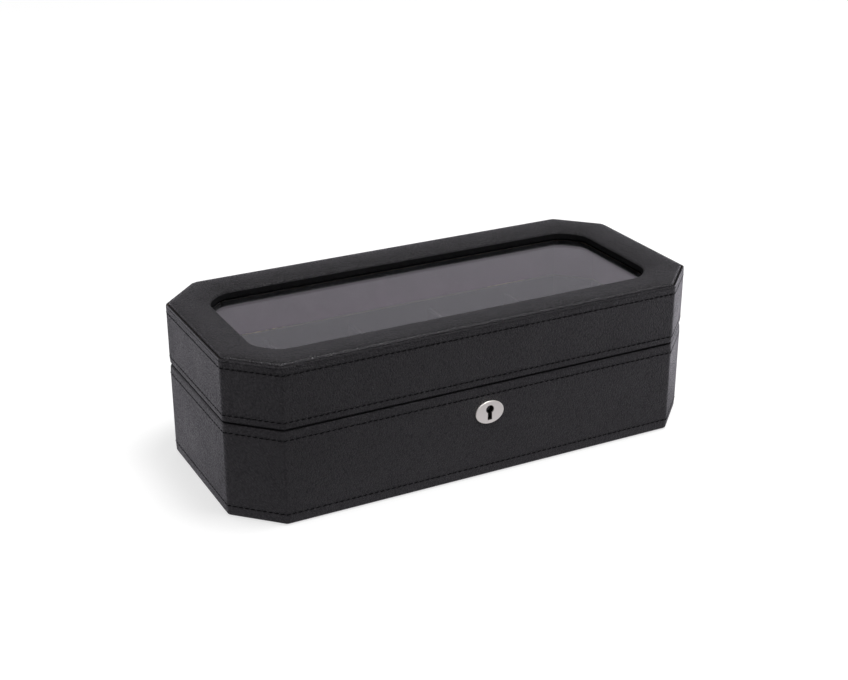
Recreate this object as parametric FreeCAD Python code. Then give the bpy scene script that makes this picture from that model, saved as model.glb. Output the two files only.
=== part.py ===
import FreeCAD
import Part
import math
import os

from FreeCAD import Vector

# Watch box for five watches: a leather-covered wooden box with cut corners, a hinged lid with a glass
# window in a padded frame, and a keyed box lock. Millimetres, +Z up, origin at the centre of the
# underside, +X along the box, the lock on the -Y side and the hinges on the +Y side.

# ---------------------------------------------------------------- driving dimensions
body_length = 324.0         # along X, over the leather
body_depth = 147.5          # along Y, over the leather
body_height = 101.5         # to the leather rim round the lid's top
base_height = 61.6          # underside to the base's rim
rim_gap = 0.6               # between the two rims when the lid is shut
corner_cut = 26.8           # leg of each cut corner, along X and along Y
edge_round = 3.0            # radius of the leather on the upright edges

leather = 1.0               # leather on the walls, rims and hem
core_wall = 9.0             # fibreboard walls
lining = 1.6                # suede cloth on card
lining_drop = 0.3           # the lining's edge stays this far back from each rim
lip_bevel = 0.5             # slope along the leather's raised lip round the lid's top
fold_bevel = 0.7            # slope pressed into the leather where it folds over a rim or under the base

felt = 0.5                  # sheet that the box stands on
felt_inset = 4.0
hem_width = 13.0            # leather turned in under the base
floor_board = 6.0
floor_rebate = 5.0          # how far the floor board reaches into the walls

frame_width = 24.15         # outer face to the window, all round the lid
window_depth = 5.0          # lid's rim down to the glass
window_round = 3.0          # radius in the window's corners
glass_thick = 3.0
glass_rebate = 6.0
glass_play = 0.25
retainer_thick = 3.0
ceiling_lining = 1.2
pad_leather = 1.0
pad_edge_foam = 0.2         # foam left at the pad's edges
pad_crown = 1.2             # extra foam along the middle of the frame
seam_inset = 1.0            # width of the leather lip outside the pad
seam_gap = 0.2

places = 5                  # watches side by side
divider_thick = 3.2
divider_drop = 6.4          # divider's top below the rim
divider_groove = 0.8        # depth that a divider's end sits in the lining
cushion_width = 53.0
cushion_end_room = 24.0     # free space in front of and behind a cushion
cushion_height = 47.0       # of the full oval, before its foot is pressed flat
cushion_press = 4.4         # height lost where its foot is pressed flat
oval_fullness = 0.2         # 0 follows an ellipse's ends, 1 makes them half circles

hinge_spread = 92.0         # each hinge's centre from the middle
hinge_setback = 3.0         # pin's axis inside the rear face
stop_bevel = 51.0           # slope of the rear rims, in degrees: they meet just past 100
hinge_width = 30.0
leaf_let_in = 0.05          # depth that a leaf is let into the wood, under the trimmed leather
leaf_depth = 7.0
leaf_play = 0.1             # between the two leaves when shut
knuckle_radius = 2.1
knuckle_count = 3
knuckle_play = 0.15
knuckle_pocket = 0.4
pin_radius = 1.0
pin_play = 0.03

screw_radius = 1.0
screw_length = 9.0
screw_taper_start = 7.0     # from the head's face
screw_sides = 10
screw_head_radius = 1.8
screw_head_deep = 0.9
leaf_screw_spread = 9.0     # each of a leaf's screws from its middle
leaf_screw_row = 4.6        # in from the pin's axis

lock_drop = 16.4            # rim down to the keyhole's round part
lock_front = 2.45           # leather face to the lock's front plate
lock_half_width = 16.0
lock_flange = 2.0           # the front plate stands out past the cap on each side
lock_height = 26.0
lock_plate = 1.0
selvedge_thick = 1.2        # the lock's and the link plate's part in the rims
lock_cap_wall = 0.8
selvedge_half = 24.0        # half the length of the plate in the rim
selvedge_corner = 3.4       # radius at each corner of its rounded ends
selvedge_screw = 20.4       # each screw from the lock's middle
link_offset = 7.25          # each link from the lock's middle
link_thick = 1.5
link_depth = 4.8
link_drop = 9.4             # lid's rim down to the link's end
link_corner = 1.2
link_window_foot = 1.0      # bar left under the link's window
link_window_high = 3.8
link_window_wide = 2.8
link_slot_play_x = 0.4
link_slot_play_y = 0.55

bolt_travel = 4.0
bolt_thick = 2.2
bolt_bar_high = 4.5
bolt_prong_high = 3.0
bolt_prong_long = 4.0
bolt_prong_nose = 0.8       # corner taken off a prong's tip
bolt_end_play = 0.2         # bolt's ends to the cap's walls
bolt_post_wide = 2.4
bolt_tip_gap = 0.6          # prong's tip to the link when unlocked
bolt_play = 0.1
bolt_link_gap = 1.2         # link's foot above the bolt's bar
detent_strip = 0.3
detent_half = 3.6           # half the bowed spring's length
detent_high = 3.2
detent_shift = 2.6          # spring's middle to the left of the lock's
stump_offset = 8.0          # each guide stump from the lock's middle
stump_radius = 0.95
stump_shoulder = 1.6
talon_width = 5.0
talon_root = 3.0            # its width at the top, where the key's bit stops
talon_depth = 1.6
drill_pin_radius = 1.1
drill_pin_reach = 1.6       # tip behind the leather's face

escutcheon_width = 20.3
escutcheon_height = 15.6
escutcheon_thick = 0.9
escutcheon_bevel = 0.4
escutcheon_drop = 2.3       # plate's centre below the keyhole's round part
keyhole_radius = 2.55
keyhole_drop = 6.8          # round part's centre down to the slot's foot
keyhole_slot_top = 2.5
keyhole_slot_foot = 3.1
keyhole_play = 0.3          # the leather's and the wood's holes round the keyhole

# ---------------------------------------------------------------- levels and places worked out from them
half_length = body_length / 2
half_depth = body_depth / 2
far = body_length + body_depth          # longer than anything in the box
lid_foot = base_height + rim_gap
axis_y = half_depth - hinge_setback
axis_z = base_height + rim_gap / 2
leaf_thick = leather + leaf_let_in + (rim_gap - leaf_play) / 2
wall_inner = leather + core_wall        # inset of the walls' inner faces
room_inner = wall_inner + lining        # inset of the lining's inner faces
hem_z = felt + leather
floor_z = hem_z + floor_board
seat_z = floor_z + lining
board_top = body_height - leather
glass_top = body_height - window_depth
glass_foot = glass_top - glass_thick
board_foot = glass_foot - retainer_thick
ceiling_z = board_foot - ceiling_lining
window_board = frame_width - pad_leather
rebate_inset = window_board - glass_rebate
pad_outer = seam_inset + seam_gap
pad_end_slope = 4 * pad_crown / (frame_width - pad_outer)   # the pad's fall at its edges
divider_top = base_height - divider_drop
room_length = body_length - 2 * room_inner
place_width = (room_length - (places - 1) * divider_thick) / places
place_pitch = place_width + divider_thick
cushion_depth = body_depth - 2 * (room_inner + cushion_end_room)
front_y = -half_depth
keyhole_z = base_height - lock_drop
lock_y = front_y + lock_front
lock_back_y = front_y + wall_inner
link_y = (lock_y + lock_plate + lock_back_y - lock_cap_wall) / 2


# ---------------------------------------------------------------- shared shapes
def box(x0, x1, y0, y1, z0, z1):
    return Part.makeBox(x1 - x0, y1 - y0, z1 - z0, Vector(x0, y0, z0))


def cylinder(radius, start, direction, length):
    return Part.makeCylinder(radius, length, start, direction)


def polygon_prism(points, direction):
    """A flat outline of points, carried along direction."""
    wire = Part.makePolygon([Vector(*p) for p in points] + [Vector(*points[0])])
    return Part.Face(wire).extrude(direction)


def octagon_corners(inset):
    """The eight corners of the box's plan, inset from its leather face, anticlockwise from the front left."""
    x = half_length - inset
    y = half_depth - inset
    cut = corner_cut - inset * (2 - math.sqrt(2))
    return [(-x + cut, -y), (x - cut, -y), (x, -y + cut), (x, y - cut),
            (x - cut, y), (-x + cut, y), (-x, y - cut), (-x, -y + cut)]


def octagon_wire(inset, z, radius=None):
    """The plan outline at height z. The leather's face is rounded at its corners. The boards and linings
    inside it have sharp ones, so there the leather is pressed a little thinner."""
    if radius is None:
        radius = edge_round if inset == 0 else 0
    corners = [Vector(x, y, z) for x, y in octagon_corners(inset)]
    if radius <= 0:
        return Part.makePolygon(corners + [corners[0]])
    back = radius * math.tan(math.radians(22.5))
    rise = radius / math.cos(math.radians(22.5)) - radius
    starts, mids, ends = [], [], []
    for k, corner in enumerate(corners):
        before = (corners[k - 1] - corner).normalize()
        after = (corners[(k + 1) % 8] - corner).normalize()
        starts.append(corner + before * back)
        mids.append(corner + (before + after).normalize() * rise)
        ends.append(corner + after * back)
    edges = []
    for k in range(8):
        edges.append(Part.Arc(starts[k], mids[k], ends[k]).toShape())
        edges.append(Part.LineSegment(ends[k], starts[(k + 1) % 8]).toShape())
    return Part.Wire(edges)


def octagon_prism(inset, z0, z1, radius=None):
    return Part.Face(octagon_wire(inset, z0, radius)).extrude(Vector(0, 0, z1 - z0))


def octagon_ring(outer, inner, z0, z1, inner_radius=None):
    return octagon_prism(outer, z0, z1).cut(octagon_prism(inner, z0 - 1, z1 + 1, inner_radius))


def mitred_ring(profile):
    """A closed moulding round the box's plan, cut to length with a mitre at each corner. The profile is a
    list of segments, each two points of a line or three of an arc, as (distance in from the leather's face,
    height)."""
    deepest = max(u for points in profile for u, z in points)
    outer, inner = octagon_corners(0), octagon_corners(deepest + 1)
    sides = []
    for k in range(8):
        start, end = Vector(*outer[k], 0), Vector(*outer[(k + 1) % 8], 0)
        along = (end - start).normalize()
        inward = Vector(-along.y, along.x, 0)
        edges = []
        for points in profile:
            points = [start - along * far + inward * u + Vector(0, 0, z) for u, z in points]
            curve = Part.LineSegment(*points) if len(points) == 2 else Part.Arc(*points)
            edges.append(curve.toShape())
        bar = Part.Face(Part.Wire(edges)).extrude(along * 3 * far)
        mitres = [(*outer[k], 0), (*outer[(k + 1) % 8], 0), (*inner[(k + 1) % 8], 0), (*inner[k], 0)]
        sides.append(bar.common(polygon_prism(mitres, Vector(0, 0, 2 * body_height))))
    return sides[0].multiFuse(sides[1:]).removeSplitter()


def rim_limit(rim_z, up, inset):
    """All the space on one side of a rim and of its rear bevel, moved into the wall by inset.
    up is 1 for the lid, whose walls stand above its rim, and -1 for the base."""
    slope = math.radians(stop_bevel)
    across, along = math.sin(slope), math.cos(slope)
    level = across * axis_y - inset                 # the bevel: across * y + along * height = level
    rim_y = (level + along * inset) / across
    end_height = (level - across * far) / along
    outline = [(0, -far, up * far), (0, -far, inset * up), (0, rim_y, inset * up),
               (0, far, -end_height * up), (0, far, 2 * far * up)]
    outline = [(x, y, rim_z + height) for x, y, height in outline]
    prism = polygon_prism(outline, Vector(2 * far, 0, 0))
    prism.translate(Vector(-far, 0, 0))
    return prism


def base_envelope(inset):
    """The base's whole body, inset from its leather face on every side, its rim and its rear bevel."""
    body = octagon_prism(inset, felt + inset, base_height + 1)
    return body.common(rim_limit(base_height, -1, inset))


def lid_envelope(inset, top):
    body = octagon_prism(inset, lid_foot - 1, top)
    return body.common(rim_limit(lid_foot, 1, inset))


def soften(solid, wanted, radius):
    """Rounds the edges that wanted picks."""
    return solid.makeFillet(radius, [e for e in solid.Edges if wanted(e)])


def bevel(solid, wanted, size):
    """Bevels the edges that wanted picks."""
    return solid.makeChamfer(size, [e for e in solid.Edges if wanted(e)])


def lies_flat(edge, z):
    box_of = edge.BoundBox
    return abs(box_of.ZMin - z) < 0.01 and abs(box_of.ZMax - z) < 0.01


def screw(x, y, z, up):
    """A countersunk wood screw with its head's face at z, pointing up (1) or down (-1). Its faces are flat,
    because there are twelve such screws."""
    profile = [(screw_head_radius, 0), (screw_radius, screw_head_deep), (screw_radius, screw_taper_start),
               (screw_radius * 0.2, screw_length)]
    turns = [2 * math.pi * k / screw_sides for k in range(screw_sides)]
    rings = [[Vector(x + r * math.cos(t), y + r * math.sin(t), z + up * depth) for t in turns]
             for r, depth in profile]
    outlines = [rings[0], rings[-1]]
    for low, high in zip(rings, rings[1:]):
        outlines += [[low[k - 1], low[k], high[k], high[k - 1]] for k in range(screw_sides)]
    faces = [Part.Face(Part.makePolygon(points + [points[0]])) for points in outlines]
    solid = Part.Solid(Part.Shell(faces))
    return solid if solid.Volume > 0 else solid.reversed()


def oval_face(width, height):
    """A four-centred oval in the XY plane: one radius at its two ends, a larger one above and below."""
    a, b = width / 2, height / 2
    end = b * b / a + oval_fullness * (b - b * b / a)
    side = (a * a + b * b - 2 * a * end) / (2 * (b - end))
    turn = math.atan2(side - b, a - end)
    x, y = a - end + end * math.cos(turn), end * math.sin(turn)
    points = [(x, -y), (a, 0), (x, y), (0, b), (-x, y), (-a, 0), (-x, -y), (0, -b), (x, -y)]
    points = [Vector(px, py, 0) for px, py in points]
    arcs = [Part.Arc(points[k], points[k + 1], points[k + 2]).toShape() for k in (0, 2, 4, 6)]
    return Part.Face(Part.Wire(arcs))


def keyhole_prism(y0, y1, grow=0.0):
    """The keyhole's outline, carried from y0 to y1: a round part and a slot that flares to its foot."""
    round_part = cylinder(keyhole_radius + grow, Vector(0, y0, keyhole_z), Vector(0, 1, 0), y1 - y0)
    top = keyhole_slot_top / 2 + grow
    foot = keyhole_slot_foot / 2 + grow
    low = keyhole_z - keyhole_drop - grow
    slot = polygon_prism([(-foot, y0, low), (foot, y0, low), (top, y0, keyhole_z), (-top, y0, keyhole_z)],
                         Vector(0, y1 - y0, 0))
    return round_part.fuse(slot).removeSplitter()


# ---------------------------------------------------------------- hinges
def leaf_band(lid_side):
    """Lowest and highest level of a hinge leaf's flat plate."""
    if lid_side:
        low = axis_z + leaf_play / 2
    else:
        low = axis_z - leaf_play / 2 - leaf_thick
    return low, low + leaf_thick


def knuckle_spans(x):
    """Each knuckle's two ends along X, from left to right."""
    pitch = hinge_width / knuckle_count
    first = x - hinge_width / 2
    return [(first + k * pitch + knuckle_play / 2, first + (k + 1) * pitch - knuckle_play / 2)
            for k in range(knuckle_count)]


def leaf_screw_places(x):
    return [(x + side * leaf_screw_spread, axis_y - leaf_screw_row) for side in (-1, 1)]


def hinge_leaf(x, lid_side, screws):
    """One leaf of a butt hinge: a plate let into the rim, with every second knuckle of the row."""
    low, high = leaf_band(lid_side)
    plate = box(x - hinge_width / 2, x + hinge_width / 2, axis_y - leaf_depth, axis_y, low, high)
    own = 1 if lid_side else 0
    leaf = plate
    for k, (x0, x1) in enumerate(knuckle_spans(x)):
        if k % 2 == own:
            leaf = leaf.fuse(cylinder(knuckle_radius, Vector(x0, axis_y, axis_z), Vector(1, 0, 0), x1 - x0))
    for k, (x0, x1) in enumerate(knuckle_spans(x)):
        if k % 2 != own:
            room = knuckle_radius + knuckle_play
            leaf = leaf.cut(cylinder(room, Vector(x0 - knuckle_play, axis_y, axis_z), Vector(1, 0, 0),
                                     x1 - x0 + 2 * knuckle_play))
    bore = cylinder(pin_radius + pin_play, Vector(x - hinge_width, axis_y, axis_z), Vector(1, 0, 0),
                    2 * hinge_width)
    leaf = leaf.cut(bore)
    for body in screws:
        leaf = leaf.cut(body)
    return leaf.removeSplitter()


def hinge_pin(x):
    return cylinder(pin_radius, Vector(x - hinge_width / 2, axis_y, axis_z), Vector(1, 0, 0), hinge_width)


def hinge_recess(x, lid_side):
    """What a hinge takes out of a rim: the leaf's bed and a round pocket for the knuckles."""
    low, high = leaf_band(lid_side)
    bed = box(x - hinge_width / 2, x + hinge_width / 2, axis_y - leaf_depth, axis_y + knuckle_radius,
              min(low, axis_z), max(high, axis_z))
    reach = hinge_width + 2 * knuckle_pocket
    pocket = cylinder(knuckle_radius + knuckle_pocket, Vector(x - reach / 2, axis_y, axis_z),
                      Vector(1, 0, 0), reach)
    return bed.fuse(pocket)


# ---------------------------------------------------------------- lock
def selvedge_outline(z0, z1):
    """The rounded-end plate that the lock and the link plate both show in their rims."""
    plate = box(-selvedge_half, selvedge_half, lock_y, lock_back_y, z0, z1)
    return soften(plate, lambda e: e.BoundBox.ZLength > 0.9 * (z1 - z0), selvedge_corner)


def selvedge_screw_places():
    middle = (lock_back_y + lock_y) / 2
    return [(-selvedge_screw, middle), (selvedge_screw, middle)]


def stump_places():
    """The two guide stumps that the bolt's slots run on."""
    z = bolt_levels()[0] + bolt_bar_high / 2
    return [(-stump_offset, z), (stump_offset, z)]


def bolt_levels():
    """The bolt's foot, the top of its bar, and the foot and top of its prongs."""
    link_foot = lid_foot - link_drop
    bar_top = link_foot - bolt_link_gap
    prong_foot = link_foot + link_window_foot + (link_window_high - bolt_prong_high) / 2
    return bar_top - bolt_bar_high, bar_top, prong_foot, prong_foot + bolt_prong_high


def lock_case(screws):
    """Front plate and rim plate bent from one strip, with two stumps that guide the bolt."""
    foot = base_height - lock_height
    half = lock_half_width + lock_flange
    front = box(-half, half, lock_y, lock_y + lock_plate, foot, base_height - selvedge_thick / 2)
    case = front.fuse(selvedge_outline(base_height - selvedge_thick, base_height))
    slot_x = link_thick / 2 + link_slot_play_x
    slot_y = link_depth / 2 + link_slot_play_y
    for x in (-link_offset, link_offset):
        slot = box(x - slot_x, x + slot_x, link_y - slot_y, link_y + slot_y, base_height - 3, base_height + 1)
        case = case.cut(slot)
    bolt_face = link_y - bolt_thick / 2
    for x, z in stump_places():
        start = Vector(x, lock_y + lock_plate, z)
        case = case.fuse(cylinder(stump_shoulder, start, Vector(0, 1, 0), bolt_face - bolt_play - start.y))
        reach = lock_back_y - lock_cap_wall - start.y
        case = case.fuse(cylinder(stump_radius, start, Vector(0, 1, 0), reach))
    case = case.cut(keyhole_prism(lock_y - 1, lock_y + lock_plate + 0.5))
    for body in screws:
        case = case.cut(body)
    return case.removeSplitter()


def lock_cap():
    """The box-shaped cover over the works, closed towards the inside of the watch box."""
    foot = base_height - lock_height
    top = base_height - selvedge_thick
    y0, y1 = lock_y + lock_plate, lock_back_y
    outer = box(-lock_half_width, lock_half_width, y0, y1, foot, top)
    wall = lock_cap_wall
    room = box(-lock_half_width + wall, lock_half_width - wall, y0 - 1, y1 - wall, foot + wall, top + 1)
    cap = outer.cut(room)
    return cap.cut(cylinder(drill_pin_radius, Vector(0, y0, keyhole_z), Vector(0, 1, 0), y1 - y0))


def lock_drill_pin():
    """The pin that a barrel key fits over, riveted in the cap."""
    start = front_y + drill_pin_reach
    return cylinder(drill_pin_radius, Vector(0, start, keyhole_z), Vector(0, 1, 0), lock_back_y - start)


def lock_bolt():
    """A sliding bar with two posts whose prongs pass through the links, and a talon for the key's bit."""
    foot, bar_top, prong_foot, prong_top = bolt_levels()
    y0 = link_y - bolt_thick / 2
    left = -lock_half_width + lock_cap_wall + bolt_end_play
    right = -left - bolt_travel
    bolt = box(left, right, y0, y0 + bolt_thick, foot, bar_top)
    for x in (-link_offset, link_offset):
        tip = x - link_thick / 2 - bolt_tip_gap
        root = tip - bolt_prong_long
        post = max(root - bolt_post_wide, left)
        nose = bolt_prong_nose
        hook = [(post, bar_top), (post, prong_top), (tip - nose, prong_top), (tip, prong_top - nose),
                (tip, prong_foot), (root, prong_foot), (root, bar_top)]
        bolt = bolt.fuse(polygon_prism([(hx, y0, hz) for hx, hz in hook], Vector(0, bolt_thick, 0)))
    for x, z in stump_places():
        high = stump_radius + bolt_play
        slot = box(x - bolt_travel, x, y0 - 1, y0 + bolt_thick + 1, z - high, z + high)
        for end in (x - bolt_travel, x):
            slot = slot.fuse(cylinder(high, Vector(end, y0 - 1, z), Vector(0, 1, 0), bolt_thick + 2))
        bolt = bolt.cut(slot)
    middle = -bolt_travel / 2
    wide, narrow = talon_width / 2, talon_root / 2
    talon = [(middle - wide, y0 - 1, foot - 1), (middle + wide, y0 - 1, foot - 1),
             (middle + narrow, y0 - 1, foot + talon_depth), (middle - narrow, y0 - 1, foot + talon_depth)]
    bolt = bolt.cut(polygon_prism(talon, Vector(0, bolt_thick + 2, 0)))
    return bolt.removeSplitter()


def lock_detent_spring():
    """A bowed strip on the bolt's back that presses on the cap and holds the bolt where the key leaves it."""
    foot, bar_top = bolt_levels()[:2]
    rise = lock_back_y - lock_cap_wall - bolt_play - (link_y + bolt_thick / 2)
    low = (foot + bar_top - detent_high) / 2

    def bow(back):
        ends = [Vector(side * detent_half - detent_shift, back - rise + detent_strip, low)
                for side in (-1, 1)]
        return Part.Arc(ends[0], Vector(-detent_shift, back, low), ends[1]).toShape()

    crest = lock_back_y - lock_cap_wall - bolt_play
    outer, inner = bow(crest), bow(crest - detent_strip)
    ends = [Part.LineSegment(outer.Vertexes[k].Point, inner.Vertexes[k].Point).toShape() for k in (0, 1)]
    wire = Part.Wire(Part.sortEdges([outer, inner] + ends)[0])
    return Part.Face(wire).extrude(Vector(0, 0, detent_high))


def link_plate(screws):
    """The lid's half of the lock: a plate in the rim with two links that the bolt's prongs pass through."""
    plate = selvedge_outline(lid_foot, lid_foot + selvedge_thick)
    foot = lid_foot - link_drop
    for x in (-link_offset, link_offset):
        link = box(x - link_thick / 2, x + link_thick / 2, link_y - link_depth / 2, link_y + link_depth / 2,
                   foot, lid_foot + selvedge_thick / 2)
        link = soften(link, lambda e: lies_flat(e, foot) and e.BoundBox.XLength > link_thick / 2, link_corner)
        window_foot, half_wide = foot + link_window_foot, link_window_wide / 2
        window = box(x - link_thick, x + link_thick, link_y - half_wide, link_y + half_wide,
                     window_foot, window_foot + link_window_high)
        plate = plate.fuse(link.cut(window))
    for body in screws:
        plate = plate.cut(body)
    return plate.removeSplitter()


def escutcheon():
    """The oval keyhole plate, with a bevelled front edge."""
    plate = oval_face(escutcheon_width, escutcheon_height).extrude(Vector(0, 0, escutcheon_thick))
    plate = bevel(plate, lambda e: lies_flat(e, escutcheon_thick), escutcheon_bevel)
    plate.rotate(Vector(0, 0, 0), Vector(1, 0, 0), 90)
    plate.translate(Vector(0, front_y, keyhole_z - escutcheon_drop))
    return plate.cut(keyhole_prism(front_y - 5, front_y + 1))


# ---------------------------------------------------------------- base
def base_leather_cover(cuts):
    """One skin over the base's walls, turned over the rim and hemmed underneath."""
    outer = base_envelope(0)
    outer = bevel(outer, lambda e: lies_flat(e, felt), fold_bevel)
    outer = bevel(outer, lambda e: lies_flat(e, base_height) and e.BoundBox.YMax < axis_y - 0.01, fold_bevel)
    skin = outer.cut(base_envelope(leather))
    skin = skin.cut(octagon_prism(wall_inner, hem_z + 1, base_height + 2))
    skin = skin.cut(octagon_prism(leather + hem_width, felt - 1, hem_z + 1))
    for cut in cuts:
        skin = skin.cut(cut)
    return skin.removeSplitter()


def base_wall_core(cuts):
    core = base_envelope(leather)
    core = core.cut(octagon_prism(wall_inner, hem_z - 1, base_height + 2))
    core = core.cut(octagon_prism(wall_inner - floor_rebate, hem_z - 1, floor_z))
    for cut in cuts:
        core = core.cut(cut)
    return core.removeSplitter()


def underside_felt():
    """Felt on card. Its raised middle fills the space inside the leather's hem."""
    sheet = octagon_prism(felt_inset, 0, felt)
    return sheet.fuse(octagon_prism(leather + hem_width, felt, hem_z)).removeSplitter()


def divider_middles():
    first = -(places - 2) / 2 * place_pitch
    return [first + k * place_pitch for k in range(places - 1)]


def divider(x):
    reach = half_depth - room_inner + divider_groove
    half = divider_thick / 2
    board = box(x - half, x + half, -reach, reach, seat_z, divider_top)
    return soften(board, lambda e: lies_flat(e, divider_top) and e.BoundBox.YLength > 10, divider_thick * 0.4)


def base_wall_lining():
    ring = octagon_ring(wall_inner, room_inner, floor_z, base_height - lining_drop)
    half = divider_thick / 2
    reach = half_depth - room_inner + divider_groove
    for x in divider_middles():
        ring = ring.cut(box(x - half, x + half, -reach, reach, seat_z, divider_top))
    return ring


def base_floor_lining():
    return octagon_prism(room_inner, floor_z, seat_z)


def cushion(x):
    """A firm oval pillow that lies across its place on a pressed flat foot."""
    half_wide = cushion_width / 2
    body = oval_face(cushion_depth, cushion_height).extrude(Vector(0, 0, cushion_width))
    body.rotate(Vector(0, 0, 0), Vector(1, 0, 0), 90)
    body.rotate(Vector(0, 0, 0), Vector(0, 0, 1), 90)
    body.translate(Vector(x - half_wide, 0, seat_z + cushion_height / 2 - cushion_press))
    return body.common(box(x - far, x + far, -far, far, seat_z, far))


# ---------------------------------------------------------------- lid
def lid_wall_core(cuts):
    core = lid_envelope(leather, board_foot)
    core = core.cut(octagon_prism(wall_inner, lid_foot - 1, board_foot + 1))
    for cut in cuts:
        core = core.cut(cut)
    return core.removeSplitter()


def lid_top_board():
    """The frame that carries the pad, with the window through it and a rebate under it for the glass."""
    board = octagon_prism(leather, board_foot, board_top)
    board = board.cut(octagon_prism(window_board, board_foot - 1, board_top + 1))
    return board.cut(octagon_prism(rebate_inset, board_foot - 1, glass_top))


def lid_side_leather(cuts):
    """The lid's side skin: turned over the rim below, and over the board's edge above as a raised lip."""
    outer = lid_envelope(0, body_height)
    outer = bevel(outer, lambda e: lies_flat(e, body_height), lip_bevel)
    outer = bevel(outer, lambda e: lies_flat(e, lid_foot) and e.BoundBox.YMax < axis_y - 0.01, fold_bevel)
    skin = outer.cut(lid_envelope(leather, board_top))
    skin = skin.cut(octagon_prism(wall_inner, lid_foot - 1, lid_foot + leather + 1))
    skin = skin.cut(octagon_prism(seam_inset, board_top - 0.5, body_height + 1))
    for cut in cuts:
        skin = skin.cut(cut)
    return skin.removeSplitter()


def crown(outer, inner, edge_z):
    """Three points of the arch from edge to edge, pad_crown high in its middle."""
    return [(outer, edge_z), ((outer + inner) / 2, edge_z + pad_crown), (inner, edge_z)]


def straight(points):
    """The profile segments that join points one after another."""
    return [list(pair) for pair in zip(points, points[1:])]


def pad_foam():
    outer, inner = pad_outer + pad_leather, window_board
    edge_z = board_top + pad_edge_foam
    sides = straight([(inner, edge_z), (inner, board_top), (outer, board_top), (outer, edge_z)])
    return mitred_ring([crown(outer, inner, edge_z)] + sides)


def pad_leather_cover():
    """The skin over the pad, tucked into the seam outside and turned down the window's walls to the glass.
    It is made wide of the window, so that the window's rounded corners can be cut out of it."""
    under_z = board_top + pad_edge_foam
    over_z = under_z + pad_leather
    outer, inner, past = pad_outer + pad_leather, window_board, frame_width + window_round
    window_side = straight([(frame_width, over_z), (past, over_z - window_round * pad_end_slope),
                            (past, glass_top), (inner, glass_top), (inner, under_z)])
    seam_side = straight([(outer, under_z), (outer, board_top), (pad_outer, board_top), (pad_outer, over_z)])
    underside = crown(outer, inner, under_z)[::-1]
    skin = mitred_ring([crown(pad_outer, frame_width, over_z)] + window_side + [underside] + seam_side)
    return skin.cut(octagon_prism(frame_width, glass_top - 1, 2 * body_height, window_round))


def window_glass():
    return octagon_prism(rebate_inset + glass_play, glass_foot, glass_top)


def glass_retainer():
    return octagon_ring(rebate_inset, frame_width, board_foot, glass_foot, window_round)


def lid_ceiling_lining():
    return octagon_ring(wall_inner, frame_width, ceiling_z, board_foot, window_round)


def lid_wall_lining():
    return octagon_ring(wall_inner, room_inner, lid_foot + lining_drop, ceiling_z)


# ---------------------------------------------------------------- assembly
def build():
    """Every piece by its name."""
    hinges = {"left": -hinge_spread, "right": hinge_spread}
    base_top, lid_low = leaf_band(False)[1], leaf_band(True)[0]
    base_screws = {side: [screw(*place, base_top, -1) for place in leaf_screw_places(x)]
                   for side, x in hinges.items()}
    lid_screws = {side: [screw(*place, lid_low, 1) for place in leaf_screw_places(x)]
                  for side, x in hinges.items()}
    lock_screws = [screw(*place, base_height, -1) for place in selvedge_screw_places()]
    link_screws = [screw(*place, lid_foot, 1) for place in selvedge_screw_places()]

    mortise = box(-lock_half_width - lock_flange, lock_half_width + lock_flange, lock_y, lock_back_y + 1,
                  base_height - lock_height, base_height + 1)
    base_cuts = [hinge_recess(x, False) for x in hinges.values()]
    base_cuts += [mortise, selvedge_outline(base_height - selvedge_thick, base_height + 1)]
    base_cuts += [keyhole_prism(front_y - 1, lock_y + 1, keyhole_play)]
    lid_cuts = [hinge_recess(x, True) for x in hinges.values()]
    lid_cuts += [selvedge_outline(lid_foot - 1, lid_foot + selvedge_thick)]

    parts = {
        "base_leather_cover": base_leather_cover(base_cuts),
        "base_wall_core": base_wall_core(base_cuts),
        "base_floor_board": octagon_prism(wall_inner - floor_rebate, hem_z, floor_z),
        "underside_felt": underside_felt(),
        "base_floor_lining": base_floor_lining(),
        "base_wall_lining": base_wall_lining(),
        "lock_case": lock_case(lock_screws),
        "lock_cap": lock_cap(),
        "lock_drill_pin": lock_drill_pin(),
        "lock_bolt": lock_bolt(),
        "lock_detent_spring": lock_detent_spring(),
        "lock_screws": Part.makeCompound(lock_screws),
        "keyhole_escutcheon": escutcheon(),
        "link_plate": link_plate(link_screws),
        "link_plate_screws": Part.makeCompound(link_screws),
        "lid_wall_core": lid_wall_core(lid_cuts),
        "lid_top_board": lid_top_board(),
        "lid_side_leather": lid_side_leather(lid_cuts),
        "lid_pad_foam": pad_foam(),
        "lid_pad_leather": pad_leather_cover(),
        "window_glass": window_glass(),
        "glass_retainer": glass_retainer(),
        "lid_ceiling_lining": lid_ceiling_lining(),
        "lid_wall_lining": lid_wall_lining(),
    }
    parts.update({f"divider_{k + 1}": divider(x) for k, x in enumerate(divider_middles())})
    for k in range(places):
        parts[f"watch_cushion_{k + 1}"] = cushion((k - (places - 1) / 2) * place_pitch)
    for side, x in hinges.items():
        parts[f"hinge_base_leaf_{side}"] = hinge_leaf(x, False, base_screws[side])
        parts[f"hinge_lid_leaf_{side}"] = hinge_leaf(x, True, lid_screws[side])
        parts[f"hinge_pin_{side}"] = hinge_pin(x)
    parts["hinge_base_screws"] = Part.makeCompound(sum(base_screws.values(), []))
    parts["hinge_lid_screws"] = Part.makeCompound(sum(lid_screws.values(), []))
    return parts


os.makedirs("parts", exist_ok=True)
for name, shape in build().items():
    solids = shape.Solids
    if not solids or not shape.isValid():
        raise ValueError(f"{name} isn't a valid solid")
    print(name, len(solids), "solid(s)", round(sum(s.Volume for s in solids) / 1000, 3), "cm3")
    whole = solids[0] if len(solids) == 1 else Part.makeCompound(solids)
    whole.exportStep(f"parts/{name}.step")
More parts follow.
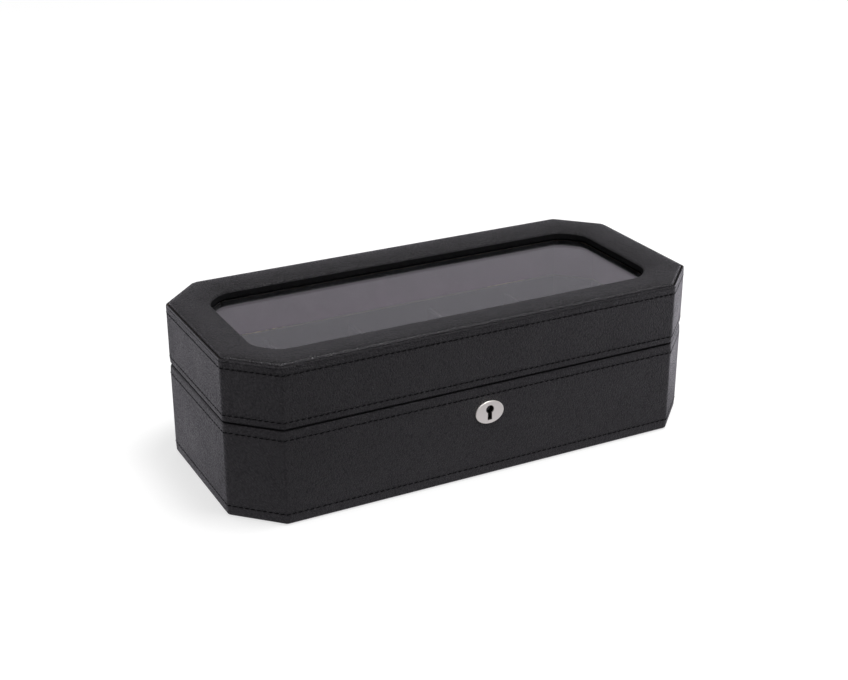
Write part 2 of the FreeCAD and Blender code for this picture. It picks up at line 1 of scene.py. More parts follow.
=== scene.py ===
# %% [markdown]
# A watch box for five watches: leather-covered walls with cut corners, a hinged lid with a glass window in
# a padded frame, a keyed lock, suede linings and plump suede cushions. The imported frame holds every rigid
# piece at its true size. This lesson gives each of them a finish, and models the soft and small pieces
# that the frame only stands in for: the leather skins, the pad and its foam, the thread, the cushions and
# the screws.

# %% Load the frame
import math

import bmesh
import bpy
from mathutils import Matrix, Vector


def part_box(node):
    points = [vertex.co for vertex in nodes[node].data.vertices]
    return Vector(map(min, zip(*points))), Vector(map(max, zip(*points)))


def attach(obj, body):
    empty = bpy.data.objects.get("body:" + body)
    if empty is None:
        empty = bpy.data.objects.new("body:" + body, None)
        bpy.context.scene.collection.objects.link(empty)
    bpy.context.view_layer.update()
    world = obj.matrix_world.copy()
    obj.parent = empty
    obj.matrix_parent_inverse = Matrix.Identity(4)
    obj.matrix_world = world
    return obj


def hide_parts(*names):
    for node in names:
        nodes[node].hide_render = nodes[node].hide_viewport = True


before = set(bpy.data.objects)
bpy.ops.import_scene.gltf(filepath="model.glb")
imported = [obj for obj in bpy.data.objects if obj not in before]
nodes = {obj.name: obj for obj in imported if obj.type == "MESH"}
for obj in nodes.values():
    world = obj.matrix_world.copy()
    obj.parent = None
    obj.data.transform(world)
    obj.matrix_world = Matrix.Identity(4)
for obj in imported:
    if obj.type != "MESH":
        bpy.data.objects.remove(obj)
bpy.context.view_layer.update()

# %% [markdown]
# Everything is placed from the frame's own boxes. The base's skin gives the plan's half length and half
# depth, and the rims' levels, so the pieces modelled here follow the frame when it changes. A few sizes
# that a box can't tell, such as the length of the corner cut, are named values in metres.

# %% Sizes read from the frame
mm = 0.001
base_low, base_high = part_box("base_leather_cover")
lid_low, lid_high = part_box("lid_side_leather")
pad_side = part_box("lid_pad_leather")[1].x
foam_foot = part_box("lid_pad_foam")[0].z
glass_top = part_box("window_glass")[1].z
half_x, half_y = base_high.x, base_high.y
base_foot, base_rim = base_low.z, base_high.z
lid_rim, lid_top = lid_low.z, lid_high.z
pin_low, pin_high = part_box("hinge_pin_left")
axis_y, axis_z = (pin_low.y + pin_high.y) / 2, (pin_low.z + pin_high.z) / 2
corner_cut = 26.8 * mm
corner_round = 3.0 * mm
rear_slope = math.radians(51)
skin = 1.0 * mm
print("half size", half_x, half_y, "rims", base_rim, lid_rim, "top", lid_top, "hinge axis", axis_y, axis_z)

# %% [markdown]
# An operator works on whatever is selected, so these helpers keep the selection in hand. Faces and edges
# are picked in code, by where they are or which way they face, which stays right when a size changes.

# %% Helpers for selecting and editing
def deselect_all():
    bpy.ops.object.select_all(action="DESELECT")


def alone(obj):
    """Makes obj the only selected object, and the active one."""
    deselect_all()
    obj.select_set(True)
    bpy.context.view_layer.objects.active = obj


def edit(obj):
    alone(obj)
    bpy.ops.object.mode_set(mode="EDIT")


def leave_edit():
    bpy.ops.object.mode_set(mode="OBJECT")


def pick_all():
    bpy.ops.mesh.select_all(action="SELECT")


def pick(obj, kind, wanted):
    """Selects, in edit mode, the vertices, edges or faces that wanted accepts, and returns how many."""
    bpy.ops.mesh.select_mode(type=kind)
    bpy.ops.mesh.select_all(action="DESELECT")
    mesh = bmesh.from_edit_mesh(obj.data)
    found = 0
    for item in {"VERT": mesh.verts, "EDGE": mesh.edges, "FACE": mesh.faces}[kind]:
        if wanted(item):
            item.select_set(True)
            found += 1
    bmesh.update_edit_mesh(obj.data)
    return found


def bevel_picked(width, steps):
    """Bevels the picked edges, in edit mode, measured along their faces."""
    bpy.ops.mesh.bevel(offset=width, offset_type="OFFSET", segments=steps, affect="EDGES")


def middle(edge):
    return (edge.verts[0].co + edge.verts[1].co) / 2


def upright(edge):
    a, b = edge.verts[0].co, edge.verts[1].co
    return (a.xy - b.xy).length < 0.1 * mm and abs(a.z - b.z) > 0.2 * mm


def is_wall(face):
    return abs(face.normal.z) < 0.2


def between_wall_and_deck(edge):
    """An edge where an upright face meets a flat or sloping one."""
    walls = [is_wall(face) for face in edge.link_faces]
    return len(walls) == 2 and walls[0] != walls[1]


def apply_modifiers(obj):
    alone(obj)
    for modifier in list(obj.modifiers):
        bpy.ops.object.modifier_apply(modifier=modifier.name)


def cut_away(obj, *cutters):
    """Takes the cutters' volumes out of obj, and removes the cutters."""
    for cutter in cutters:
        cut = obj.modifiers.new("cut", "BOOLEAN")
        cut.operation = "DIFFERENCE"
        cut.solver = "EXACT"
        cut.object = cutter
        apply_modifiers(obj)
        bpy.data.objects.remove(cutter)


def smooth_faces(obj, angle=35):
    alone(obj)
    bpy.ops.object.shade_smooth_by_angle(angle=math.radians(angle))


def even_normals(obj):
    """Large flat faces keep their own direction, and the shading turns only in the rounds between them."""
    weighted = obj.modifiers.new("weighted", "WEIGHTED_NORMAL")
    weighted.keep_sharp = True
    apply_modifiers(obj)


def settle(obj, name):
    """Names a finished piece and moves its place and turn into its mesh."""
    alone(obj)
    bpy.ops.object.transform_apply(location=True, rotation=True, scale=True)
    obj.name = name
    obj.data.name = name
    return obj


def remove(*objs):
    for obj in objs:
        bpy.data.objects.remove(obj)


def copy_of(source):
    """A copy of a piece with its own mesh."""
    copy = source.copy()
    copy.data = source.data.copy()
    bpy.context.scene.collection.objects.link(copy)
    return copy


def join(pieces):
    """Makes one object of the pieces, which is the first of them."""
    alone(pieces[0])
    for piece in pieces[1:]:
        piece.select_set(True)
    if len(pieces) > 1:
        bpy.ops.object.join()
    return pieces[0]


print("helpers ready")

# %% [markdown]
# The walls, linings and pads all follow one plan: a rectangle with its corners cut off. It could be drawn
# point by point. Here a cube gets its four upright edges bevelled once with a single wide facet, which
# gives the eight sides, and then all eight edges bevelled again in small steps, which gives the leather's
# round corners. The rear rims slope so that the lid can turn back, and a bisecting plane makes that slope.

# %% The block that the skins are cut from
def chamfered_block(inset, low, high, steps=5):
    """A block with cut corners, inset from the leather's face, its upright edges rounded in steps."""
    deselect_all()
    size = (2 * (half_x - inset), 2 * (half_y - inset), high - low)
    bpy.ops.mesh.primitive_cube_add(size=1, location=(0, 0, (low + high) / 2), scale=size)
    block = settle(bpy.context.object, "block")
    edit(block)
    pick(block, "EDGE", upright)
    leg = corner_cut - inset * (2 - math.sqrt(2))
    bevel_picked(leg, 1)
    radius = corner_round - inset
    if steps and radius > 0.2 * mm:
        pick(block, "EDGE", upright)
        reach = radius * math.tan(math.radians(22.5))
        bevel_picked(reach, steps)
    leave_edit()
    return block


def slope_rear(block, rim, up, inset=0.0):
    """Cuts the rear rim's slope. up is 1 for the lid, whose walls stand above its rim, and -1 for the
    base."""
    outward = Vector((0, math.sin(rear_slope), -up * math.cos(rear_slope)))
    edit(block)
    pick_all()
    bpy.ops.mesh.bisect(plane_co=Vector((0, axis_y, rim)) - outward * inset, plane_no=outward,
                        use_fill=True, clear_outer=True)
    leave_edit()


def bevel_by_weight(obj, width, steps):
    """Bevels each edge to its own share of the width, and then clears the shares."""
    rounded = obj.modifiers.new("rounded", "BEVEL")
    rounded.width = width
    rounded.limit_method = "WEIGHT"
    rounded.offset_type = "OFFSET"
    rounded.segments = steps
    rounded.use_clamp_overlap = False
    apply_modifiers(obj)
    shares = obj.data.attributes.get("bevel_weight_edge")
    if shares:
        obj.data.attributes.remove(shares)


def round_outline(block, level, radius, steps=4):
    """Rounds the fold where the walls meet the flat deck near a level. The rear slope's edge stays crisp."""

    def folded(edge):
        sloping = any(0.2 <= abs(face.normal.z) < 0.95 for face in edge.link_faces)
        return between_wall_and_deck(edge) and not sloping and abs(middle(edge).z - level) < 3 * mm

    edit(block)
    found = pick(block, "EDGE", folded)
    bevel_picked(radius, steps)
    leave_edit()
    return found


def draw_in(block, level, amount):
    """Draws an edge of the walls in a little, so that the strip beside it leans, as stretched leather
    does."""
    edit(block)
    pick(block, "VERT", lambda v: abs(v.co.z - level) < 0.01 * mm)
    bpy.ops.transform.resize(value=(1 - amount / half_x, 1 - amount / half_y, 1),
                             center_override=(0, 0, level))
    leave_edit()


def press_groove(block, level, depth, width):
    """Presses a soft channel round the walls, as a tight row of stitches does."""
    edit(block)
    for share in (-1, -0.5, 0, 0.5, 1):
        pick_all()
        bpy.ops.mesh.bisect(plane_co=(0, 0, level + share * width / 2), plane_no=(0, 0, 1))
    for share, part in ((0.7, 0.6), (0.3, 0.4)):
        pick(block, "VERT", lambda v: abs(v.co.z - level) < share * width / 2)
        bpy.ops.transform.shrink_fatten(value=-depth * part, use_even_offset=True)
    leave_edit()


print("plan: corner cut", corner_cut, "round", corner_round)

# %% [markdown]
# The base's skin is one sheet of leather glued round the walls, turned over the rim and hemmed under the
# floor. It is cut like a shell: an outer block, rounded at its folds and grooved where the stitches run,
# less the wooden core, less the opening inside the rim and the opening inside the hem. The leather is
# trimmed round each hinge leaf, round the lock's plate in the rim, and behind the keyhole.

# %% Cutters for the fittings
knuckle_room = 2.5 * mm
plate_low, plate_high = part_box("link_plate")


def box_cutter(low, high):
    deselect_all()
    centre = [(a + b) / 2 for a, b in zip(low, high)]
    size = [b - a for a, b in zip(low, high)]
    bpy.ops.mesh.primitive_cube_add(size=1, location=centre, scale=size)
    return settle(bpy.context.object, "cutter")


def rod_cutter(start, end, radius, sides=32):
    deselect_all()
    start, end = Vector(start), Vector(end)
    bpy.ops.mesh.primitive_cylinder_add(vertices=sides, radius=radius, depth=(end - start).length,
                                        location=(start + end) / 2,
                                        rotation=(end - start).to_track_quat("Z", "Y").to_euler())
    return settle(bpy.context.object, "cutter")


def fitting_cutters(rim, up):
    """The beds of both hinges, their knuckles' pockets and the lock plate's bed in a rim."""
    cutters = []
    for side in ("left", "right"):
        low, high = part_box(f"hinge_base_leaf_{side}")
        bed = (low.x, low.y, rim - 1.4 * mm), (high.x, axis_y + 2.1 * mm, rim + 1.4 * mm)
        cutters.append(box_cutter(*bed))
        cutters.append(rod_cutter((low.x - 0.4 * mm, axis_y, axis_z), (high.x + 0.4 * mm, axis_y, axis_z),
                                  knuckle_room))
    lock_bed = box_cutter((plate_low.x, plate_low.y, rim - 1.3 * mm),
                          (plate_high.x, plate_high.y, rim + 1.3 * mm))
    edit(lock_bed)
    pick(lock_bed, "EDGE", upright)
    bevel_picked(3.4 * mm, 6)
    leave_edit()
    cutters.append(lock_bed)
    return cutters


keyhole_level = base_rim - 16.4 * mm
keyhole_radius = 2.55 * mm
keyhole_foot = keyhole_level - 6.8 * mm
print("keyhole at", keyhole_level, "lock plate", plate_low, plate_high)

# %% The base's leather skin
base_fold, lid_fold = 2.1 * mm, 0.7 * mm
hem_fold = 1.0 * mm
groove_depth = 0.35 * mm
groove_width = 1.1 * mm
drawn_in = 0.25 * mm
base_rows = (base_rim - 6.3 * mm, base_foot + 6.6 * mm)

base_leather = chamfered_block(0, base_foot, base_rim)
slope_rear(base_leather, base_rim, -1)
for level in base_rows:
    press_groove(base_leather, level, groove_depth, groove_width)
draw_in(base_leather, base_rim, drawn_in)
draw_in(base_leather, base_foot, drawn_in)
folded = round_outline(base_leather, base_rim, base_fold)
folded += round_outline(base_leather, base_foot, hem_fold, steps=3)
core = chamfered_block(skin, base_foot + skin, base_rim - skin)
slope_rear(core, base_rim, -1, skin)
rim_opening = chamfered_block(10 * mm, base_foot + 2 * mm, base_rim + skin)
hem_opening = chamfered_block(14 * mm, base_foot - skin, base_foot + 3 * mm)
cut_away(base_leather, core, rim_opening, hem_opening, *fitting_cutters(base_rim, -1))
cut_away(base_leather,
         rod_cutter((0, -half_y - skin, keyhole_level), (0, -half_y + 2 * skin, keyhole_level), 2.85 * mm),
         box_cutter((-1.8 * mm, -half_y - skin, keyhole_foot - 0.3 * mm),
                    (1.8 * mm, -half_y + 2 * skin, keyhole_level)))
smooth_faces(base_leather)
even_normals(base_leather)
settle(base_leather, "base_leather_skin")
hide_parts("base_leather_cover")
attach(base_leather, "base")
print("base skin:", folded, "edges folded,", len(base_leather.data.polygons), "faces")

# %% [markdown]
# The lid's skin is made in the same way. It is turned over the rim below, and above it ends in a thin lip
# with an eased edge. The pad's leather is tucked down inside that lip, which leaves the dark seam all round.

# %% The lid's leather skin
lip_fold = 0.55 * mm
lip_width = 1.0 * mm
lid_rows = (lid_top - 5.3 * mm, lid_rim + 4.4 * mm)

lid_leather = chamfered_block(0, lid_rim, lid_top)
slope_rear(lid_leather, lid_rim, 1)
for level in lid_rows:
    press_groove(lid_leather, level, groove_depth, groove_width)
press_groove(lid_leather, lid_top - 1.2 * mm, 0.25 * mm, 0.7 * mm)
draw_in(lid_leather, lid_rim, drawn_in)
draw_in(lid_leather, lid_top, drawn_in)
round_outline(lid_leather, lid_top, lip_fold)
round_outline(lid_leather, lid_rim, lid_fold)
core = chamfered_block(skin, lid_rim + skin, lid_top - skin)
slope_rear(core, lid_rim, 1, skin)
rim_opening = chamfered_block(10 * mm, lid_rim - skin, lid_rim + 2 * skin)
pad_opening = chamfered_block(lip_width, lid_top - 2 * skin, lid_top + skin)
cut_away(lid_leather, core, rim_opening, pad_opening, *fitting_cutters(lid_rim, 1))
smooth_faces(lid_leather)
even_normals(lid_leather)
settle(lid_leather, "lid_leather_skin")
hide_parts("lid_side_leather")
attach(lid_leather, "lid")
print("lid skin:", len(lid_leather.data.polygons), "faces")

# %% [markdown]
# The pad is leather pulled over foam: a low dome across the frame, a tight roll at the window, and a
# straight drop to the glass. It could be a swept profile, but here one flat plate is inset again and again,
# each ring raised to the dome's height, so that the rings follow the cut corners by themselves. The mitre
# edges are bevelled so that the corners turn softly, and a subdivision surface rounds the whole. The foam
# under it is made by the same steps, one leather's thickness smaller.

# %% The padded frame round the window
pad_outer = half_x - pad_side + 0.35 * mm
pad_inner = 24.15 * mm
pad_seam_level, pad_window_level = lid_top + 1.4 * mm, lid_top - 0.3 * mm
pad_rise = 1.4 * mm
seam_roll, window_roll = 2.1 * mm, 0.8 * mm
seam_floor = lid_top - 0.95 * mm
ring_shares = (0, 0.006, 0.018, 0.035, 0.06, 0.1, 0.18, 0.3, 0.44, 0.58, 0.7, 0.82, 0.91, 0.962, 0.98,
               0.994, 1)


def pad_height(share, outer, inner):
    """The pad's level part of the way in from its outer edge: a dome with a tight roll at each edge."""
    dome = pad_seam_level + (pad_window_level - pad_seam_level) * share
    dome += pad_rise * (1 - (2 * share - 1) ** 2)
    for near, roll in ((share * (inner - outer), seam_roll), ((1 - share) * (inner - outer), window_roll)):
        if near < roll:
            dome -= roll - math.sqrt(roll ** 2 - (roll - near) ** 2)
    return dome


def domed_frame(skirt, outer, inner, foot, under):
    """A flat plate raised into the pad's dome, under its leather by the given amount, open at the window.
    Its skirt reaches out past the dome's foot, and is the seam's floor."""
    heights = [pad_height(share, outer, inner) - under for share in ring_shares]
    pad = chamfered_block(skirt, foot, seam_floor - under, steps=0)
    edit(pad)
    pick(pad, "FACE", lambda f: f.normal.z > 0.9)
    bpy.ops.mesh.inset(thickness=outer - skirt, depth=0, use_even_offset=True)
    bpy.ops.mesh.inset(thickness=0.02 * mm, depth=heights[0] - seam_floor + under, use_even_offset=True)
    for k in range(1, len(ring_shares)):
        step = (ring_shares[k] - ring_shares[k - 1]) * (inner - outer)
        bpy.ops.mesh.inset(thickness=step, depth=heights[k] - heights[k - 1], use_even_offset=True)
    bpy.ops.mesh.delete(type="ONLY_FACE")
    pick(pad, "FACE", lambda f: f.normal.z < -0.9)
    bpy.ops.mesh.delete(type="ONLY_FACE")
    leave_edit()
    return pad


def drop_window_wall(pad, start, levels):
    """Carries the open edge at the window down from its starting level to each level in turn."""

    def window_edge(edge):
        place = middle(edge)
        return min(half_x - abs(place.x), half_y - abs(place.y)) > 20 * mm and len(edge.link_faces) == 1

    for level in levels:
        pick(pad, "EDGE", window_edge)
        bpy.ops.mesh.extrude_region_move(TRANSFORM_OT_translate={"value": (0, 0, level - start)})
        start = level


def soften_mitres(pad, outer, inner, tight, wide, steps):
    """Turns each mitre edge into a round, so that the leather goes round the corner in one piece: tight at
    the seam and wide at the window. The bevel's width follows each edge's weight."""

    def across_the_frame(edge):
        run = (edge.verts[0].co - edge.verts[1].co).xy
        if run.length < 0.001 * mm:
            return True
        sides = [Vector((1, 0)), Vector((0, 1)), Vector((1, 1)).normalized(), Vector((1, -1)).normalized()]
        return all(abs(run.normalized().dot(side)) < 0.99 for side in sides)

    def way_in(edge):
        place = middle(edge)
        return (min(half_x - abs(place.x), half_y - abs(place.y)) - outer) / (inner - outer)

    edit(pad)
    found = 0
    bands = [-1.0, *ring_shares[1:-1], 0.9999, 2.0]
    for k in range(len(bands) - 1):
        found += pick(pad, "EDGE", lambda e: across_the_frame(e) and bands[k] < way_in(e) <= bands[k + 1])
        share = min(max(bands[k], 0.0), 1.0)
        bpy.ops.transform.edge_bevelweight(value=(tight + (wide - tight) * share ** 2) / wide)
    leave_edit()
    bevel_by_weight(pad, wide * math.tan(math.radians(22.5)), steps)
    return found


pad_foot = lid_top - skin
pad = domed_frame(lip_width + 0.02 * mm, pad_outer, pad_inner, pad_foot - 0.3 * mm, 0)
edit(pad)
drop_window_wall(pad, pad_height(1, pad_outer, pad_inner),
                 [glass_top + 2.4 * mm, glass_top + 0.3 * mm, glass_top + 0.02 * mm])
leave_edit()
mitres = soften_mitres(pad, pad_outer, pad_inner, 2.0 * mm, 18.0 * mm, 6)
thick = pad.modifiers.new("leather thickness", "SOLIDIFY")
thick.thickness = 0.8 * mm
thick.offset = -1
finer = pad.modifiers.new("softer", "SUBSURF")
finer.levels = finer.render_levels = 1
apply_modifiers(pad)
smooth_faces(pad, 60)
settle(pad, "lid_pad_leather_skin")
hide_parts("lid_pad_leather")
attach(pad, "lid")
print("pad:", mitres, "mitre edges,", len(pad.data.polygons), "faces")

# %% [markdown]
# Under the leather is a frame of soft foam. It could be left as the plain solid of the drawing, but the pad's
# own steps give it the leather's crown: the same rings, set in by the leather's thickness, then closed below
# with a strip of faces between the two open edges.

# %% The foam under the pad
under_leather = 0.9 * mm
foam_outer, foam_inner = pad_outer + under_leather, pad_inner - under_leather
foam = domed_frame(foam_outer - 0.2 * mm, foam_outer, foam_inner, foam_foot, under_leather)
edit(foam)
drop_window_wall(foam, pad_height(1, foam_outer, foam_inner) - under_leather, [foam_foot])
pick(foam, "EDGE", lambda e: len(e.link_faces) == 1)
bpy.ops.mesh.bridge_edge_loops()
leave_edit()
smooth_faces(foam, 60)
settle(foam, "lid_pad_foam_frame")
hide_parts("lid_pad_foam")
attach(foam, "lid")
print("foam:", len(foam.data.polygons), "faces")

# %% [markdown]
# The hinges and the lock are held by small countersunk wood screws. Each could be a plain cone, but a real
# one has a slot, a shank that narrows to a point, and a thread. The head and shank are one cylinder extruded
# and scaled downwards, the slot is cut with a box, and a Screw modifier winds the thread from a triangle.

# %% One wood screw, copied into its twelve places
screw_head, screw_shank = 1.8 * mm, 0.72 * mm
screw_slot = 0.44 * mm
screw_pitch = 0.8 * mm
first_turn, next_turn = 0.4, 1.1


def wood_screw():
    """A screw along Z, its head's face at the origin and its point below."""
    deselect_all()
    bpy.ops.mesh.primitive_cylinder_add(vertices=24, radius=screw_head, depth=0.2 * mm,
                                        location=(0, 0, -0.1 * mm))
    body = settle(bpy.context.object, "screw")
    edit(body)
    pick(body, "FACE", lambda f: f.normal.z < -0.9)
    for down, narrow in ((0.7 * mm, screw_shank / screw_head), (6.1 * mm, 1.0), (2.0 * mm, 0.15)):
        bpy.ops.mesh.extrude_region_move(TRANSFORM_OT_translate={"value": (0, 0, -down)})
        bpy.ops.transform.resize(value=(narrow, narrow, 1))
    leave_edit()
    cut_away(body, box_cutter((-2 * screw_head, -screw_slot / 2, -0.5 * mm),
                              (2 * screw_head, screw_slot / 2, 1 * mm)))
    deselect_all()
    bpy.ops.mesh.primitive_circle_add(vertices=3, radius=0.24 * mm, rotation=(math.pi / 2, 0, 0),
                                      location=(screw_shank, 0, -2.2 * mm))
    tooth = settle(bpy.context.object, "thread")
    wound = tooth.modifiers.new("wound", "SCREW")
    wound.screw_offset = -screw_pitch
    wound.iterations = 6
    wound.steps = wound.render_steps = 14
    apply_modifiers(tooth)
    edit(tooth)
    pick_all()
    bpy.ops.mesh.fill_holes(sides=3)
    pick_all()
    bpy.ops.mesh.normals_make_consistent(inside=False)
    leave_edit()
    join([body, tooth])
    smooth_faces(body, 30)
    return body


def screw_set(pattern, node, places, level, turned):
    """Copies of the screw at places (x, y), pointing down, or up where turned is 1. Each was driven home
    to its own angle, so the slots don't line up."""
    copies = []
    for k, (x, y) in enumerate(places):
        copy = copy_of(pattern)
        copy.matrix_world = (Matrix.Translation((x, y, level)) @ Matrix.Rotation(turned * math.pi, 4, "X")
                             @ Matrix.Rotation(first_turn + next_turn * k, 4, "Z"))
        copies.append(copy)
    made = settle(join(copies), node + "_slotted")
    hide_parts(node)
    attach(made, "lid" if turned else "base")
    return made


def screw_places(node, *plates):
    """Two places for each plate, as far each way from its middle as the node's last screw is."""
    low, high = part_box(node)
    middles = [sum(corner.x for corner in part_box(plate)) / 2 for plate in plates]
    reach = high.x - screw_head - middles[-1]
    return [(x + side * reach, (low.y + high.y) / 2) for x in middles for side in (-1, 1)]


pattern = wood_screw()
hinge_places = screw_places("hinge_base_screws", "hinge_base_leaf_left", "hinge_base_leaf_right")
lock_places = screw_places("lock_screws", "link_plate")
screws = [screw_set(pattern, "hinge_base_screws", hinge_places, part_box("hinge_base_screws")[1].z, 0),
          screw_set(pattern, "hinge_lid_screws", hinge_places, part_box("hinge_lid_screws")[0].z, 1),
          screw_set(pattern, "lock_screws", lock_places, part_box("lock_screws")[1].z, 0),
          screw_set(pattern, "link_plate_screws", lock_places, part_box("link_plate_screws")[0].z, 1)]
print("screw:", len(pattern.data.polygons), "faces; places", hinge_places, lock_places)
remove(pattern)

# %% [markdown]
# Each row of stitches is one thread that shows as short slanted bars and goes under between them. One
# stitch is modelled as a small arched rod with its ends dipped into the leather, and copies of it are set
# at an even pitch round the plan. The walk round the plan is worked out from its straight sides and its
# round corners, so a row closes on itself with no odd stitch.

# %% A walk round the plan
def plan_walk(inset, count):
    """count evenly spaced places round the plan, each as (x, y, direction in radians)."""
    x, y = half_x - inset, half_y - inset
    cut = corner_cut - inset * (2 - math.sqrt(2))
    corners = [Vector(c) for c in ((-x + cut, -y), (x - cut, -y), (x, -y + cut), (x, y - cut),
                                   (x - cut, y), (-x + cut, y), (-x, y - cut), (-x, -y + cut))]
    radius = corner_round - inset
    back = radius * math.tan(math.radians(22.5))
    turn = math.radians(45)
    legs = []
    for k in range(8):
        a, b = corners[k], corners[(k + 1) % 8]
        along = (b - a).normalized()
        legs.append(("line", a + along * back, along, (b - a).length - 2 * back))
        legs.append(("arc", b - along * back, along, radius * turn))
    total = sum(leg[3] for leg in legs)
    places, done, leg = [], 0.0, 0
    for k in range(count):
        at = total * k / count
        while at > done + legs[leg][3]:
            done += legs[leg][3]
            leg += 1
        kind, start, along, _ = legs[leg]
        heading = math.atan2(along.y, along.x)
        if kind == "line":
            point = start + along * (at - done)
        else:
            swept = (at - done) / radius
            left = Vector((-along.y, along.x))
            point = start + left * radius + (along * math.sin(swept) - left * math.cos(swept)) * radius
            heading += swept
        places.append((point.x, point.y, heading))
    return places, total


around = plan_walk(0, 8)[1]
print("the way round the box is", round(around, 4), "m")

# %% One stitch, copied into four rows
stitch_pitch = 3.8 * mm
stitch_length = 2.7 * mm
thread_radius = 0.3 * mm
stitch_slant = math.radians(-11)


def thread_stitch():
    """A short rod along X, arched outwards (-Y) in its middle, with its ends dipped into the leather."""
    deselect_all()
    bpy.ops.mesh.primitive_cylinder_add(vertices=6, radius=thread_radius, depth=stitch_length,
                                        rotation=(0, math.pi / 2, 0))
    stitch = settle(bpy.context.object, "stitch")
    edit(stitch)
    for share in (-0.36, -0.12, 0.12, 0.36):
        pick_all()
        bpy.ops.mesh.bisect(plane_co=(share * stitch_length, 0, 0), plane_no=(1, 0, 0))
    for least, dip, size in ((0.45, 0.42, 0.6), (0.3, 0.1, 0.95)):
        for side in (-1, 1):
            pick(stitch, "VERT", lambda v: least < side * v.co.x / stitch_length < least + 0.16)
            bpy.ops.transform.translate(value=(0, dip * mm, 0))
            bpy.ops.transform.resize(value=(1, size, size))
    leave_edit()
    smooth_faces(stitch, 80)
    return stitch


def stitch_row(pattern, level, name, body):
    """A closed row of stitches round the walls at a level."""
    places = plan_walk(0.04 * mm, round(around / stitch_pitch))[0]
    copies = []
    for x, y, heading in places:
        copy = copy_of(pattern)
        copy.matrix_world = (Matrix.Translation((x, y, level)) @ Matrix.Rotation(heading, 4, "Z")
                             @ Matrix.Rotation(stitch_slant, 4, "Y"))
        copies.append(copy)
    row = settle(join(copies), name)
    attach(row, body)
    return row


pattern = thread_stitch()
rows = [stitch_row(pattern, base_rows[0], "stitches_base_rim", "base"),
        stitch_row(pattern, base_rows[1], "stitches_base_foot", "base"),
        stitch_row(pattern, lid_rows[0], "stitches_lid_top", "lid"),
        stitch_row(pattern, lid_rows[1], "stitches_lid_rim", "lid")]
print("stitch:", len(pattern.data.polygons), "faces, row:", len(rows[0].data.polygons))
remove(pattern)

# %% [markdown]
# The keyhole plate is a flat nickel oval with an eased front edge. A cylinder is stretched to the oval, its
# front edge is bevelled in a few steps, and a keyhole is cut through it: a drilled round and a flared slot.

# %% The oval keyhole plate
plate_box_low, plate_box_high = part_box("keyhole_escutcheon")
plate_size = (plate_box_high - plate_box_low) * 0.965
plate_size.y = plate_box_high.y - plate_box_low.y
deselect_all()
centre = (plate_box_low + plate_box_high) / 2
bpy.ops.mesh.primitive_cylinder_add(vertices=96, radius=0.5, depth=1, rotation=(math.pi / 2, 0, 0),
                                    location=centre)
escutcheon = settle(bpy.context.object, "escutcheon")
hole_level = keyhole_level + 0.3 * mm
edit(escutcheon)
pick_all()
bpy.ops.transform.resize(value=plate_size, center_override=centre)
pick(escutcheon, "EDGE", lambda e: all(v.co.y < plate_box_low.y + 0.01 * mm for v in e.verts))
bevel_picked(0.4 * mm, 4)
pick_all()
bpy.ops.transform.translate(value=(0, 0, 0.6 * mm))
leave_edit()
slot_cutter = box_cutter((-1.4 * mm, plate_box_low.y - skin, keyhole_foot),
                         (1.4 * mm, plate_box_high.y + skin, hole_level))
edit(slot_cutter)
pick(slot_cutter, "VERT", lambda v: v.co.z < keyhole_foot + 0.1 * mm)
bpy.ops.transform.resize(value=(1.12, 1, 1))
leave_edit()
round_cutter = rod_cutter((0, plate_box_low.y - skin, hole_level),
                          (0, plate_box_high.y + skin, hole_level), 1.08 * keyhole_radius, 40)
cut_away(escutcheon, slot_cutter, round_cutter)
smooth_faces(escutcheon, 40)
even_normals(escutcheon)
settle(escutcheon, "keyhole_plate")
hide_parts("keyhole_escutcheon")
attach(escutcheon, "base")
print("keyhole plate:", len(escutcheon.data.polygons), "faces, size", plate_size)

# %% [markdown]
# A watch cushion is suede sewn round wadding: one long strip wraps it from front to back, and an oval piece
# closes each end. A cloth simulation inflates a slightly smaller block, which gives the plump faces and the
# slack between the seams that modelling by hand tends to miss. It rests on a foot pressed flat.

# %% One cushion, inflated as cloth
cushion_low, cushion_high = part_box("watch_cushion_1")
cushion_size = cushion_high - cushion_low
cushion_middle = (cushion_low + cushion_high) / 2


def cushion_block():
    """The cushion before it is stuffed: an oval prism across the place, smaller than its room."""
    deselect_all()
    bpy.ops.mesh.primitive_cylinder_add(vertices=40, radius=0.5, depth=1, rotation=(0, math.pi / 2, 0))
    block = settle(bpy.context.object, "cushion")
    edit(block)
    pick_all()
    size = (cushion_size.x - 7 * mm, cushion_size.y - 5 * mm, cushion_size.z + 1 * mm)
    bpy.ops.transform.resize(value=size)
    bpy.ops.transform.translate(value=cushion_middle)
    pick(block, "EDGE", lambda e: len({v.co.x > cushion_middle.x for v in e.verts}) == 1)
    bevel_picked(5 * mm, 3)
    pick_all()
    bpy.ops.mesh.bisect(plane_co=(0, 0, cushion_low.z + 1.2 * mm), plane_no=(0, 0, -1), use_fill=True,
                        clear_outer=True)
    leave_edit()
    return block


